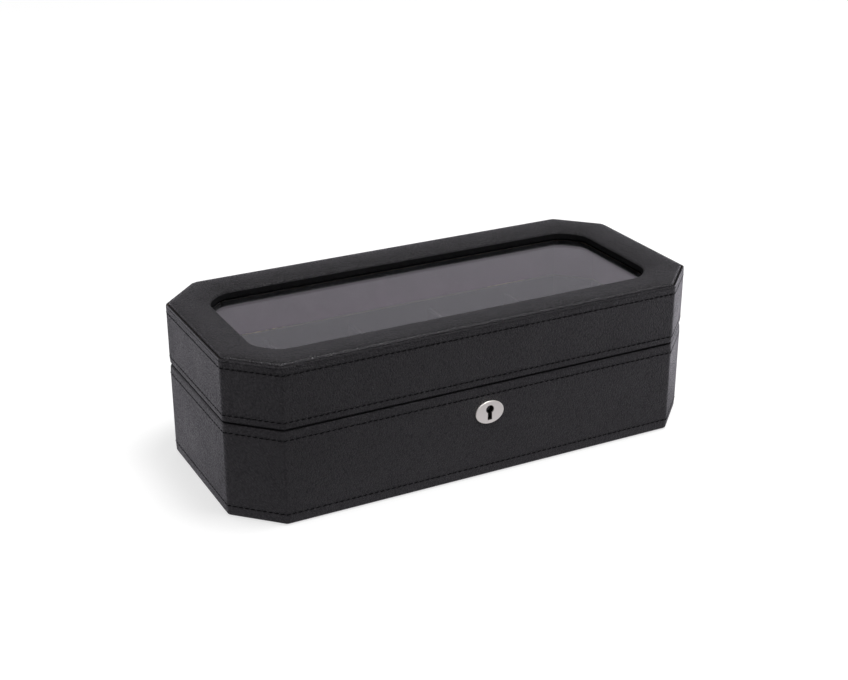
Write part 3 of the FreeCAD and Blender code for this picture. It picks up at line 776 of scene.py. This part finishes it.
def stuff(block, pressure, cap):
    """Swells the block as cloth under pressure, moving no point further than cap."""
    remesh = block.modifiers.new("remesh", "REMESH")
    remesh.mode = "VOXEL"
    remesh.voxel_size = 4 * mm
    apply_modifiers(block)
    before = [v.co.copy() for v in block.data.vertices]
    cloth = block.modifiers.new("cloth", "CLOTH")
    cloth.settings.use_pressure = True
    cloth.settings.uniform_pressure_force = pressure
    cloth.settings.effector_weights.gravity = 0
    cloth.settings.quality = 6
    for frame_number in range(1, 21):
        bpy.context.scene.frame_set(frame_number)
    apply_modifiers(block)
    bpy.context.scene.frame_set(1)
    for vertex, start in zip(block.data.vertices, before):
        move = vertex.co - start
        if move.length > cap:
            vertex.co = start + move.normalized() * cap
    finer = block.modifiers.new("finer", "SUBSURF")
    finer.levels = finer.render_levels = 1
    apply_modifiers(block)
    return block


def fit_to_box(obj, low, high):
    """Sets the piece's bounds to a box, by moving and scaling its points."""
    points = [v.co for v in obj.data.vertices]
    least = Vector(min(p[k] for p in points) for k in range(3))
    most = Vector(max(p[k] for p in points) for k in range(3))
    for v in obj.data.vertices:
        v.co = Vector(low[k] + (v.co[k] - least[k]) / (most[k] - least[k]) * (high[k] - low[k])
                      for k in range(3))


def end_seam(cushion, x):
    """The sewn seam round one end: the outline where a plane crosses the cushion, made a thin cord."""
    seam = copy_of(cushion)
    edit(seam)
    bpy.ops.mesh.select_mode(type="VERT")
    pick_all()
    bpy.ops.mesh.bisect(plane_co=(x, 0, 0), plane_no=(1, 0, 0))
    pick(seam, "VERT", lambda v: abs(v.co.x - x) > 0.001 * mm)
    bpy.ops.mesh.delete(type="VERT")
    leave_edit()
    alone(seam)
    bpy.ops.object.convert(target="CURVE")
    seam = bpy.context.object
    seam.data.bevel_depth = 0.55 * mm
    seam.data.bevel_resolution = 2
    alone(seam)
    bpy.ops.object.convert(target="MESH")
    return bpy.context.object


cushion = stuff(cushion_block(), pressure=4.0, cap=4 * mm)
fit_to_box(cushion, cushion_low, cushion_high)
seam_inset = 7.5 * mm
seams = [end_seam(cushion, x) for x in (cushion_low.x + seam_inset, cushion_high.x - seam_inset)]
smooth_faces(cushion, 70)
for seam in seams:
    smooth_faces(seam, 70)
print("cushion:", len(cushion.data.polygons), "faces, seam", len(seams[0].data.polygons))

# %% Five cushions in their places
cushions = []
for number in range(1, 6):
    low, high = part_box(f"watch_cushion_{number}")
    shift = Vector(((low.x + high.x) / 2 - cushion_middle.x, 0, 0))
    for kind, patterns in (("cushion", [cushion]), ("cushion_seams", seams)):
        copies = [copy_of(source) for source in patterns]
        for copy in copies:
            copy.location += shift
        piece = settle(join(copies), f"{kind}_{number}")
        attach(piece, f"cushion_{number}")
        if kind == "cushion":
            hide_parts(f"watch_cushion_{number}")
        cushions.append(piece)
remove(cushion, *seams)
print(len(cushions), "cushion pieces")

# %% [markdown]
# A finish is a small tree of nodes. The parts of it that several finishes share, such as leather grain and
# suede nap, are node groups that put out only heights and masks. Each finish keeps its own shader, with its
# plain numbers set on the shader's sockets, so that nothing is lost when the model is exported.

# %% Helpers for node trees
def add_node(tree, kind, **settings):
    """A node of a kind, with its settings and, by name or number, its inputs' values."""
    node = tree.nodes.new("ShaderNode" + kind)
    inputs = settings.pop("inputs", {})
    for name, value in settings.items():
        setattr(node, name, value)
    for name, value in inputs.items():
        if isinstance(value, bpy.types.NodeSocket):
            tree.links.new(value, node.inputs[name])
        else:
            node.inputs[name].default_value = value
    return node


def math_node(tree, operation, a, b):
    return add_node(tree, "Math", operation=operation, inputs={0: a, 1: b}).outputs[0]


def vector_node(tree, operation, a, b):
    return add_node(tree, "VectorMath", operation=operation, inputs={0: a, 1: b}).outputs


def mix_numbers(tree, share, first, second):
    return add_node(tree, "Mix", inputs={0: share, 2: first, 3: second}).outputs[0]


def spread(tree, value, low, high, to_low=0.0, to_high=1.0):
    """Maps a value's range onto another, clamped."""
    settings = {"Value": value, "From Min": low, "From Max": high, "To Min": to_low, "To Max": to_high}
    return add_node(tree, "MapRange", inputs=settings).outputs["Result"]


def blend_colours(tree, share, first, second):
    mix = add_node(tree, "Mix", data_type="RGBA")
    tree.links.new(share, mix.inputs[0])
    for socket, colour in ((mix.inputs[6], first), (mix.inputs[7], second)):
        socket.default_value = (*colour, 1)
    return mix.outputs[2]


def new_group(name, numbers, outputs):
    """An empty node group with a Vector input, number inputs with their defaults, and number outputs."""
    tree = bpy.data.node_groups.new(name, "ShaderNodeTree")
    tree.interface.new_socket(name="Vector", in_out="INPUT", socket_type="NodeSocketVector")
    for socket_name, default in numbers.items():
        socket = tree.interface.new_socket(name=socket_name, in_out="INPUT", socket_type="NodeSocketFloat")
        socket.default_value = default
    for socket_name in outputs:
        tree.interface.new_socket(name=socket_name, in_out="OUTPUT", socket_type="NodeSocketFloat")
    entry = tree.nodes.new("NodeGroupInput")
    leave = tree.nodes.new("NodeGroupOutput")
    return tree, entry.outputs, leave.inputs


def new_finish(name, **values):
    """A material with one Principled shader, its plain values set on its sockets, and Object coordinates."""
    material = bpy.data.materials.new(name)
    material.use_nodes = True
    tree = material.node_tree
    shader = tree.nodes["Principled BSDF"]
    for socket, value in values.items():
        shader.inputs[socket.replace("_", " ")].default_value = value
    where = add_node(tree, "TexCoord").outputs["Object"]
    return material, tree, shader, where


def use_group(tree, group, where, **numbers):
    node = tree.nodes.new("ShaderNodeGroup")
    node.node_tree = group
    tree.links.new(where, node.inputs["Vector"])
    for name, value in numbers.items():
        node.inputs[name.replace("_", " ")].default_value = value
    return node.outputs


def bump(tree, shader, height, strength, distance):
    node = add_node(tree, "Bump", inputs={"Strength": strength, "Distance": distance, "Height": height})
    tree.links.new(node.outputs["Normal"], shader.inputs["Normal"])


def colour(tree, shader, share, first, second):
    tree.links.new(blend_colours(tree, share, first, second), shader.inputs["Base Color"])


def roughness(tree, shader, value, low, high, at_low, at_high):
    tree.links.new(spread(tree, value, low, high, at_low, at_high), shader.inputs["Roughness"])


def surface_mix(tree, share, first, second):
    """Puts a mix of two shaders on the surface."""
    mix = add_node(tree, "MixShader", inputs={0: share, 1: first.outputs[0], 2: second.outputs[0]})
    tree.links.new(mix.outputs[0], tree.nodes["Material Output"].inputs["Surface"])


def paint(material, *objs):
    for obj in objs:
        obj.data.materials.clear()
        obj.data.materials.append(material)
        for face in obj.data.polygons:
            face.material_index = 0


def cad(*starts):
    """The shown frame nodes whose names start with any of these."""
    return [obj for name, obj in nodes.items() if name.startswith(starts) and not obj.hide_render]


print("finish helpers ready")

# %% [markdown]
# Leather grain is a field of small flat pebbles parted by fine creases. A Voronoi texture's distance to
# its cell edges gives the creases, its distance to the cell centres domes the pebbles, and a warp of the
# coordinates keeps the cells from looking like a drawn pattern. The pebbles are longer one way, as the hide
# was stretched, and a slow noise tells thick hide from thin.

# %% The grain group
grain_group, grain_in, grain_out = new_group("leather grain", {"Pebbles": 900.0},
                                             ("Height", "Crease", "Hide"))
place, pebbles = grain_in["Vector"], grain_in["Pebbles"]
lie = Vector((0.5, -0.5, -0.707))
stretch = -0.55
warp_reach = 0.0013
along = vector_node(grain_group, "DOT_PRODUCT", place, lie)["Value"]
back = add_node(grain_group, "VectorMath", operation="SCALE",
                inputs={0: lie, "Scale": math_node(grain_group, "MULTIPLY", along, stretch)})
stretched = vector_node(grain_group, "ADD", place, back.outputs[0])[0]
warp = add_node(grain_group, "TexNoise", inputs={"Vector": place, "Scale": 400.0, "Detail": 3.0})
centred = vector_node(grain_group, "SUBTRACT", warp.outputs["Color"], (0.5, 0.5, 0.5))[0]
small = add_node(grain_group, "VectorMath", operation="SCALE", inputs={0: centred, "Scale": warp_reach})
warped = vector_node(grain_group, "ADD", stretched, small.outputs[0])[0]
cells = add_node(grain_group, "TexVoronoi", feature="F1", inputs={"Vector": warped, "Scale": pebbles})
edges = add_node(grain_group, "TexVoronoi", feature="DISTANCE_TO_EDGE",
                 inputs={"Vector": warped, "Scale": pebbles})
crease = spread(grain_group, edges.outputs["Distance"], 0.0, 0.16, 1.0, 0.0)
dome = spread(grain_group, cells.outputs["Distance"], 0.0, 0.8, 1.0, 0.0)
pores = add_node(grain_group, "TexNoise", inputs={"Vector": place, "Scale": 3600.0, "Detail": 2.0})
hide = add_node(grain_group, "TexNoise", inputs={"Vector": place, "Scale": 38.0, "Detail": 3.0})
height = math_node(grain_group, "MULTIPLY_ADD", dome, 0.45)
height.node.inputs[2].default_value = 0.5
height = math_node(grain_group, "SUBTRACT", height, math_node(grain_group, "MULTIPLY", crease, 0.5))
height = math_node(grain_group, "ADD", height, math_node(grain_group, "MULTIPLY", pores.outputs[0], 0.22))
for name, value in (("Height", height), ("Crease", crease), ("Hide", hide.outputs[0])):
    grain_group.links.new(value, grain_out[name])
print("grain group:", len(grain_group.nodes), "nodes")

# %% Black leather
def black_leather(name, smooth, rough, relief):
    """Leather between two roughnesses. Relief is 1 for full pebbles and less where they are pulled flat."""
    material, tree, shader, where = new_finish(name, Specular_IOR_Level=0.42)
    grain = use_group(tree, grain_group, where, Pebbles=1000.0)
    # The colour follows the grain's height: creases and pores are painted near black and pebble tops lighter,
    # which is painted shade and painted highlight.
    painted_grain_shade = spread(tree, grain["Height"], 0.35, 0.95)
    colour(tree, shader, painted_grain_shade, (0.0008, 0.0006, 0.0008), (0.018, 0.0165, 0.018))
    polish = spread(tree, grain["Hide"], 0.3, 0.7, smooth, rough)
    polish = math_node(tree, "ADD", polish, math_node(tree, "MULTIPLY", grain["Crease"], 0.2))
    tree.links.new(polish, shader.inputs["Roughness"])
    bump(tree, shader, grain["Height"], relief, 0.75 * mm)
    return material


leather = black_leather("black leather", 0.37, 0.45, 1.0)
edge_leather = black_leather("black leather stretched over an edge", 0.24, 0.3, 0.5)
paint(leather, base_leather, lid_leather, pad)
print("leather on 3 pieces")

# %% [markdown]
# The thread is matt black cotton, darker than the leather because it has no polish. Its twist is a fine
# wave across each stitch.

# %% Black thread
thread, tree, shader, where = new_finish("black thread", Specular_IOR_Level=0.08)
twist = add_node(tree, "TexWave", wave_type="BANDS", bands_direction="DIAGONAL",
                 inputs={"Vector": where, "Scale": 700.0, "Distortion": 1.5})
# The twist's low bands are painted darker as well as pressed in: painted shade between the plies.
colour(tree, shader, twist.outputs["Fac"], (0.002, 0.002, 0.0022), (0.006, 0.006, 0.0065))
roughness(tree, shader, twist.outputs["Fac"], 0, 1, 0.75, 0.9)
bump(tree, shader, twist.outputs["Fac"], 0.5, 0.05 * mm)
paint(thread, *rows)
print("thread on", len(rows), "rows")

# %% [markdown]
# The leather isn't one finish all over. Pulled over a tight edge it is smoother, and that edge catches a thin
# bright line. Down in the pad's seam, on the drop to the glass and on the folds that face each other in the
# gap, the leather takes the black thread's finish: this is painted shade, where those hollows fall dark.
# These could be painted as masks, but the faces are known by their places, so each takes its finish from a
# material slot.

# %% Edges and folds of the leather
painted_shade_slot, smooth_edge = 1, 2
for finish in (thread, edge_leather):
    for piece in (base_leather, lid_leather, pad):
        piece.data.materials.append(finish)
# Slot 1 puts the black thread's finish on the gap's folds, the pad's seam and the drop to the glass: painted
# shade.
for cover, level, reach in ((base_leather, base_rim, 0.7 * mm), (lid_leather, lid_rim, 0.35 * mm)):
    for face in cover.data.polygons:
        if abs(face.center.z - level) < reach and abs(face.normal.z) < 0.95:
            face.material_index = painted_shade_slot
        elif face.center.z > lid_top - 0.8 * mm and 0.1 < face.normal.z < 0.98:
            face.material_index = smooth_edge
for face in pad.data.polygons:
    x, y = abs(face.center.x), abs(face.center.y)
    inward = min(half_x - x, half_y - y, (half_x + half_y - corner_cut - x - y) / math.sqrt(2))
    on_drop = face.center.z < pad_window_level - 1.4 * window_roll
    if inward < pad_outer + 0.05 * mm or on_drop:
        face.material_index = painted_shade_slot
    elif inward < pad_outer + 1.0 * mm:
        face.material_index = smooth_edge
print("matt faces:", sum(face.material_index == painted_shade_slot for face in pad.data.polygons), "on the pad")

# %% [markdown]
# Suede is short nap that lies this way in one patch and that way in the next, so it changes tone where a
# finger has brushed it. A distorted noise gives the patches, a fine stretched noise the fibres, and sheen
# on the shader the pale rim that all napped cloth has when it turns away.

# %% The nap group and the suedes
nap_group, nap_in, nap_out = new_group("suede nap", {"Patches": 30.0, "Fibres": 2600.0},
                                       ("Tone", "Height"))
patches = add_node(nap_group, "TexNoise", inputs={"Vector": nap_in["Vector"], "Scale": nap_in["Patches"],
                                                  "Detail": 3.0, "Distortion": 1.2})
fibres = add_node(nap_group, "TexNoise", inputs={"Vector": nap_in["Vector"], "Scale": nap_in["Fibres"],
                                                 "Detail": 3.0, "Roughness": 0.7})
brushed = spread(nap_group, patches.outputs[0], 0.35, 0.65)
speckle = spread(nap_group, fibres.outputs[0], 0.3, 0.7)
tone = math_node(nap_group, "ADD", math_node(nap_group, "MULTIPLY", brushed, 0.5),
                 math_node(nap_group, "MULTIPLY", speckle, 0.5))
nap_group.links.new(tone, nap_out["Tone"])
nap_group.links.new(fibres.outputs[0], nap_out["Height"])


def suede(name, dark, light, sheen):
    material, tree, shader, where = new_finish(name, Specular_IOR_Level=0.15, Sheen_Weight=sheen,
                                               Sheen_Roughness=0.45)
    nap = use_group(tree, nap_group, where)
    colour(tree, shader, nap["Tone"], dark, light)
    roughness(tree, shader, nap["Tone"], 0, 1, 0.98, 0.86)
    bump(tree, shader, nap["Height"], 0.5, 0.12 * mm)
    return material


plum = suede("plum suede", (0.055, 0.026, 0.05), (0.11, 0.055, 0.1), 0.25)
charcoal = suede("charcoal suede", (0.006, 0.006, 0.0068), (0.012, 0.012, 0.0132), 0.02)
cushion_suede = suede("cushion suede", (0.007, 0.0066, 0.0074), (0.014, 0.0132, 0.0146), 0.03)
felt = suede("black felt", (0.012, 0.012, 0.012), (0.03, 0.03, 0.03), 0.1)
paint(plum, *cad("lid_wall_lining"))
paint(charcoal, *cad("lid_ceiling_lining", "base_floor_lining", "divider_", "glass_retainer"))
paint(cushion_suede, *cushions)
paint(felt, *cad("underside_felt"))

# The base's wall lining is painted a pale card colour along its top edge: the bare card's tone and a painted
# highlight for the light that edge catches through the window.
lining_with_painted_highlight = charcoal.copy()
lining_with_painted_highlight.name = "charcoal suede on card"
tree = lining_with_painted_highlight.node_tree
shader = tree.nodes["Principled BSDF"]
cloth_tone = shader.inputs["Base Color"].links[0].from_socket
height = add_node(tree, "SeparateXYZ", inputs={"Vector": add_node(tree, "TexCoord").outputs["Object"]})
painted_highlight_edge = math_node(tree, "GREATER_THAN", height.outputs["Z"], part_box("base_wall_lining")[1].z - 0.02 * mm)
card_and_highlight = add_node(tree, "Mix", data_type="RGBA", inputs={0: painted_highlight_edge, 6: cloth_tone, 7: (0.13, 0.125, 0.08, 1)})
tree.links.new(card_and_highlight.outputs[2], shader.inputs["Base Color"])
paint(lining_with_painted_highlight, *cad("base_wall_lining"))
print("suedes on", len(cad("lid_ceiling_lining", "lid_wall_lining", "glass_retainer")), "lid pieces")

# %% [markdown]
# The carcass is medium-density fibreboard: pressed wood dust, tan, with darker fibres and no grain. It
# shows only where a fitting is let in. Round the keyhole, where it would show through, it is painted near
# black as painted shade for the hole. The foam is cream, with small open bubbles.

# %% Fibreboard and foam
board, tree, shader, where = new_finish("fibreboard", Specular_IOR_Level=0.3)
dust = add_node(tree, "TexNoise", inputs={"Vector": where, "Scale": 1400.0, "Detail": 4.0, "Roughness": 0.7})
bare = blend_colours(tree, dust.outputs[0], (0.2, 0.12, 0.062), (0.46, 0.32, 0.2))
# Painted shade: the board is painted near black up to 8 mm from the keyhole, fading out by 12 mm.
from_hole = vector_node(tree, "DISTANCE", where, (0, -half_y, keyhole_level))["Value"]
painted_keyhole_shade = add_node(tree, "Mix", data_type="RGBA", inputs={0: spread(tree, from_hole, 8 * mm, 12 * mm),
                                                          6: (0.012, 0.008, 0.005, 1), 7: bare})
tree.links.new(painted_keyhole_shade.outputs[2], shader.inputs["Base Color"])
roughness(tree, shader, dust.outputs[0], 0.3, 0.7, 0.75, 0.95)
bump(tree, shader, dust.outputs[0], 0.4, 0.1 * mm)
paint(board, *cad("base_wall_core", "base_floor_board", "lid_wall_core", "lid_top_board"))

cream, tree, shader, where = new_finish("cream foam", Specular_IOR_Level=0.2)
bubbles = add_node(tree, "TexVoronoi", feature="F1", inputs={"Vector": where, "Scale": 1500.0})
# Each bubble's hollow is painted darker as well as pressed in: painted shade.
colour(tree, shader, bubbles.outputs["Distance"], (0.36, 0.33, 0.25), (0.76, 0.72, 0.6))
roughness(tree, shader, bubbles.outputs["Distance"], 0, 0.6, 0.98, 0.85)
bump(tree, shader, bubbles.outputs["Distance"], 0.6, 0.2 * mm)
paint(cream, foam)
print("board on", len(cad("base_wall_core", "base_floor_board", "lid_wall_core", "lid_top_board")), "pieces")

# %% [markdown]
# The keyhole plate is nickel, the hinges are brass, and the lock is steel with its case and drill pin blued
# near black, which also paints in the shade inside the keyhole. Real plate is never one even mirror: it has
# a fine brushing that spreads the highlights one way, and a slight cloudiness from the plating bath.

# %% Metals
brush_group, brush_in, brush_out = new_group("brushed metal", {"Lines": 900.0}, ("Lines", "Cloud"))
drawn = vector_node(brush_group, "MULTIPLY", brush_in["Vector"], (0.06, 1.0, 1.0))[0]
lines = add_node(brush_group, "TexNoise", inputs={"Vector": drawn, "Scale": brush_in["Lines"], "Detail": 2.0})
cloud = add_node(brush_group, "TexNoise",
                 inputs={"Vector": brush_in["Vector"], "Scale": 160.0, "Detail": 2.0})
brush_group.links.new(lines.outputs[0], brush_out["Lines"])
brush_group.links.new(cloud.outputs[0], brush_out["Cloud"])


def metal(name, dull, bright, smooth, rough):
    material, tree, shader, where = new_finish(name, Metallic=1.0)
    marks = use_group(tree, brush_group, where, Lines=3200.0)
    colour(tree, shader, marks["Cloud"], dull, bright)
    roughness(tree, shader, marks["Lines"], 0.3, 0.7, smooth, rough)
    bump(tree, shader, marks["Lines"], 0.15, 0.02 * mm)
    return material


nickel = metal("satin nickel", (0.96, 0.93, 0.84), (1.0, 0.975, 0.89), 0.3, 0.42)
steel = metal("lock steel", (0.5, 0.49, 0.47), (0.62, 0.61, 0.59), 0.28, 0.4)
keyhole_shade_blued = metal("blued steel", (0.03, 0.032, 0.034), (0.06, 0.062, 0.064), 0.35, 0.5)
brass = metal("hinge brass", (0.62, 0.44, 0.2), (0.74, 0.55, 0.28), 0.2, 0.34)
paint(nickel, escutcheon)
paint(steel, *cad("lock_", "link_plate"), *screws[2:])
# Partly painted shade: the blued case and pin stand in for the dark inside the keyhole.
paint(keyhole_shade_blued, *cad("lock_drill_pin", "lock_case"))
paint(brass, *cad("hinge_"), *screws[:2])
print("metals on", 1 + len(cad("lock_", "link_plate", "hinge_")), "pieces")

# %% [markdown]
# The window is plain float glass. Lamps can't find their way through solid glass in a path tracer, so the
# rays that look for lamps meet a transparent shader instead, and the room under the window stays lit.

# %% Glass
glass, tree, shader, where = new_finish("window glass", IOR=1.5, Transmission_Weight=1.0,
                                        Base_Color=(0.98, 0.98, 0.98, 1))
smudge = add_node(tree, "TexNoise", inputs={"Vector": where, "Scale": 22.0, "Detail": 3.0})
roughness(tree, shader, smudge.outputs[0], 0.45, 0.8, 0.0, 0.03)
path = add_node(tree, "LightPath")
surface_mix(tree, path.outputs["Is Shadow Ray"], shader, add_node(tree, "BsdfTransparent"))
paint(glass, *cad("window_glass"))
print("glass ready")

# %% [markdown]
# The box stands on a white sweep in soft, even light. The world gives most of it, and one large lamp high
# on the right gives the soft shadow on the left. The sweep glows a little towards the camera, so that it
# stays white there while it still takes the shadow. Glossy leather and glass look like whatever they
# mirror, so mirrored rays meet a studio of their own: a glowing sweep that is brighter behind the box and to
# its right and has a painted shadow by the front left corner, pale walls under a dark ceiling, and a long
# lamp above the front.

# %% The floor
def by_ray(tree, lighting, mirrored, seen):
    """One level for the rays that light things, one for mirrored rays and one for those that the camera
    sends, straight or through the glass."""
    path = add_node(tree, "LightPath")
    direct = math_node(tree, "MAXIMUM", path.outputs["Is Camera Ray"], path.outputs["Is Transmission Ray"])
    after_mirror = math_node(tree, "GREATER_THAN", path.outputs["Glossy Depth"], 0.5)
    level = mix_numbers(tree, direct, lighting, seen)
    after_mirror = math_node(tree, "MULTIPLY", after_mirror,
                             math_node(tree, "SUBTRACT", 1.0, path.outputs["Is Diffuse Ray"]))
    return mix_numbers(tree, after_mirror, level, mirrored)


mirror_tint = (1.02, 0.985, 1.08, 1)
floor_seen = 0.62
deselect_all()
bpy.ops.mesh.primitive_plane_add(size=12, location=(0, 0, 0))
floor = settle(bpy.context.object, "floor")
sweep, tree, shader, where = new_finish("white sweep", Base_Color=(0.42, 0.42, 0.42, 1), Roughness=0.9,
                                        Specular_IOR_Level=0.1, Emission_Color=(1, 1, 1, 1))
tree.links.new(by_ray(tree, 0.0, 0.0, floor_seen), shader.inputs["Emission Strength"])
back = add_node(tree, "SeparateXYZ", inputs={"Vector": where}).outputs["Y"]
to_the_right = vector_node(tree, "DOT_PRODUCT", where, (0.85, 0.5, 0))["Value"]
# The dip round (-0.28, -0.15) is a painted shadow in the glow that mirrored rays see by the front left
# corner.
from_painted_shadow = vector_node(tree, "DISTANCE", where, (-0.28, -0.15, 0))["Value"]
glow = spread(tree, back, -0.25, -0.15, 0.24, 0.54)
for place, start, end, at_start, at_end in ((back, -0.15, 0.1, 0.0, 0.5), (to_the_right, 0.11, 0.2, 0.0, 1.0),
                                            (from_painted_shadow, 0.05, 0.2, -0.56, 0.0)):
    glow = math_node(tree, "ADD", glow, spread(tree, place, start, end, at_start, at_end))
glow = math_node(tree, "MAXIMUM", glow, 0.0)
mirrored = add_node(tree, "Emission", inputs={"Color": mirror_tint, "Strength": glow})
surface_mix(tree, by_ray(tree, 0.0, 1.0, 0.0), shader, mirrored)
paint(sweep, floor)
print("floor ready")

# %% The room and its lamp
room_light = 0.62
world = bpy.data.worlds.new("white room")
bpy.context.scene.world = world
world.use_nodes = True
tree = world.node_tree
background = tree.nodes["Background"]
tint = add_node(tree, "Mix", data_type="RGBA", inputs={0: by_ray(tree, 0.0, 1.0, 0.0), 6: (1, 1, 1, 1),
                                                       7: mirror_tint})
tree.links.new(tint.outputs[2], background.inputs["Color"])
heading = add_node(tree, "SeparateXYZ", inputs={"Vector": add_node(tree, "TexCoord").outputs["Generated"]})
back, up = heading.outputs["Y"], heading.outputs["Z"]
front_lamp = math_node(tree, "MULTIPLY", spread(tree, back, -0.4, -0.1, 2.5, 0.0),
                       spread(tree, up, 0.45, 0.65, 0.0, 1.0))
walls = math_node(tree, "ADD", spread(tree, up, 0.1, 0.42, 0.56, 0.46),
                  spread(tree, up, 0.43, 0.62, 0.0, -0.42))
mirrored_light = math_node(tree, "ADD", walls, front_lamp)
tree.links.new(by_ray(tree, room_light, mirrored_light, 1.0), background.inputs["Strength"])


def lamp(name, place, size, power):
    """A square soft lamp that faces the box."""
    data = bpy.data.lights.new(name, "AREA")
    data.shape = "SQUARE"
    data.size = size
    data.energy = power
    obj = bpy.data.objects.new(name, data)
    bpy.context.scene.collection.objects.link(obj)
    obj.location = place
    obj.rotation_euler = (-Vector(place)).to_track_quat("-Z", "Y").to_euler()
    return obj


lamp("key lamp", (0.4, -0.22, 2.2), 0.75, 33)
print("stage ready")

# %% Camera
bpy.context.scene.view_settings.view_transform = "Standard"
camera_data = bpy.data.cameras.new("camera")
camera_data.lens = 63.1
camera_data.sensor_width = 36
camera = bpy.data.objects.new("camera", camera_data)
bpy.context.scene.collection.objects.link(camera)
camera.location = (-0.4135, -0.7794, 0.4467)
camera.rotation_euler = Vector((0.4244, 0.8129, -0.3989)).to_track_quat("-Z", "Y").to_euler()
camera_data.clip_start = 0.01
bpy.context.scene.camera = camera
print("camera at", tuple(camera.location))
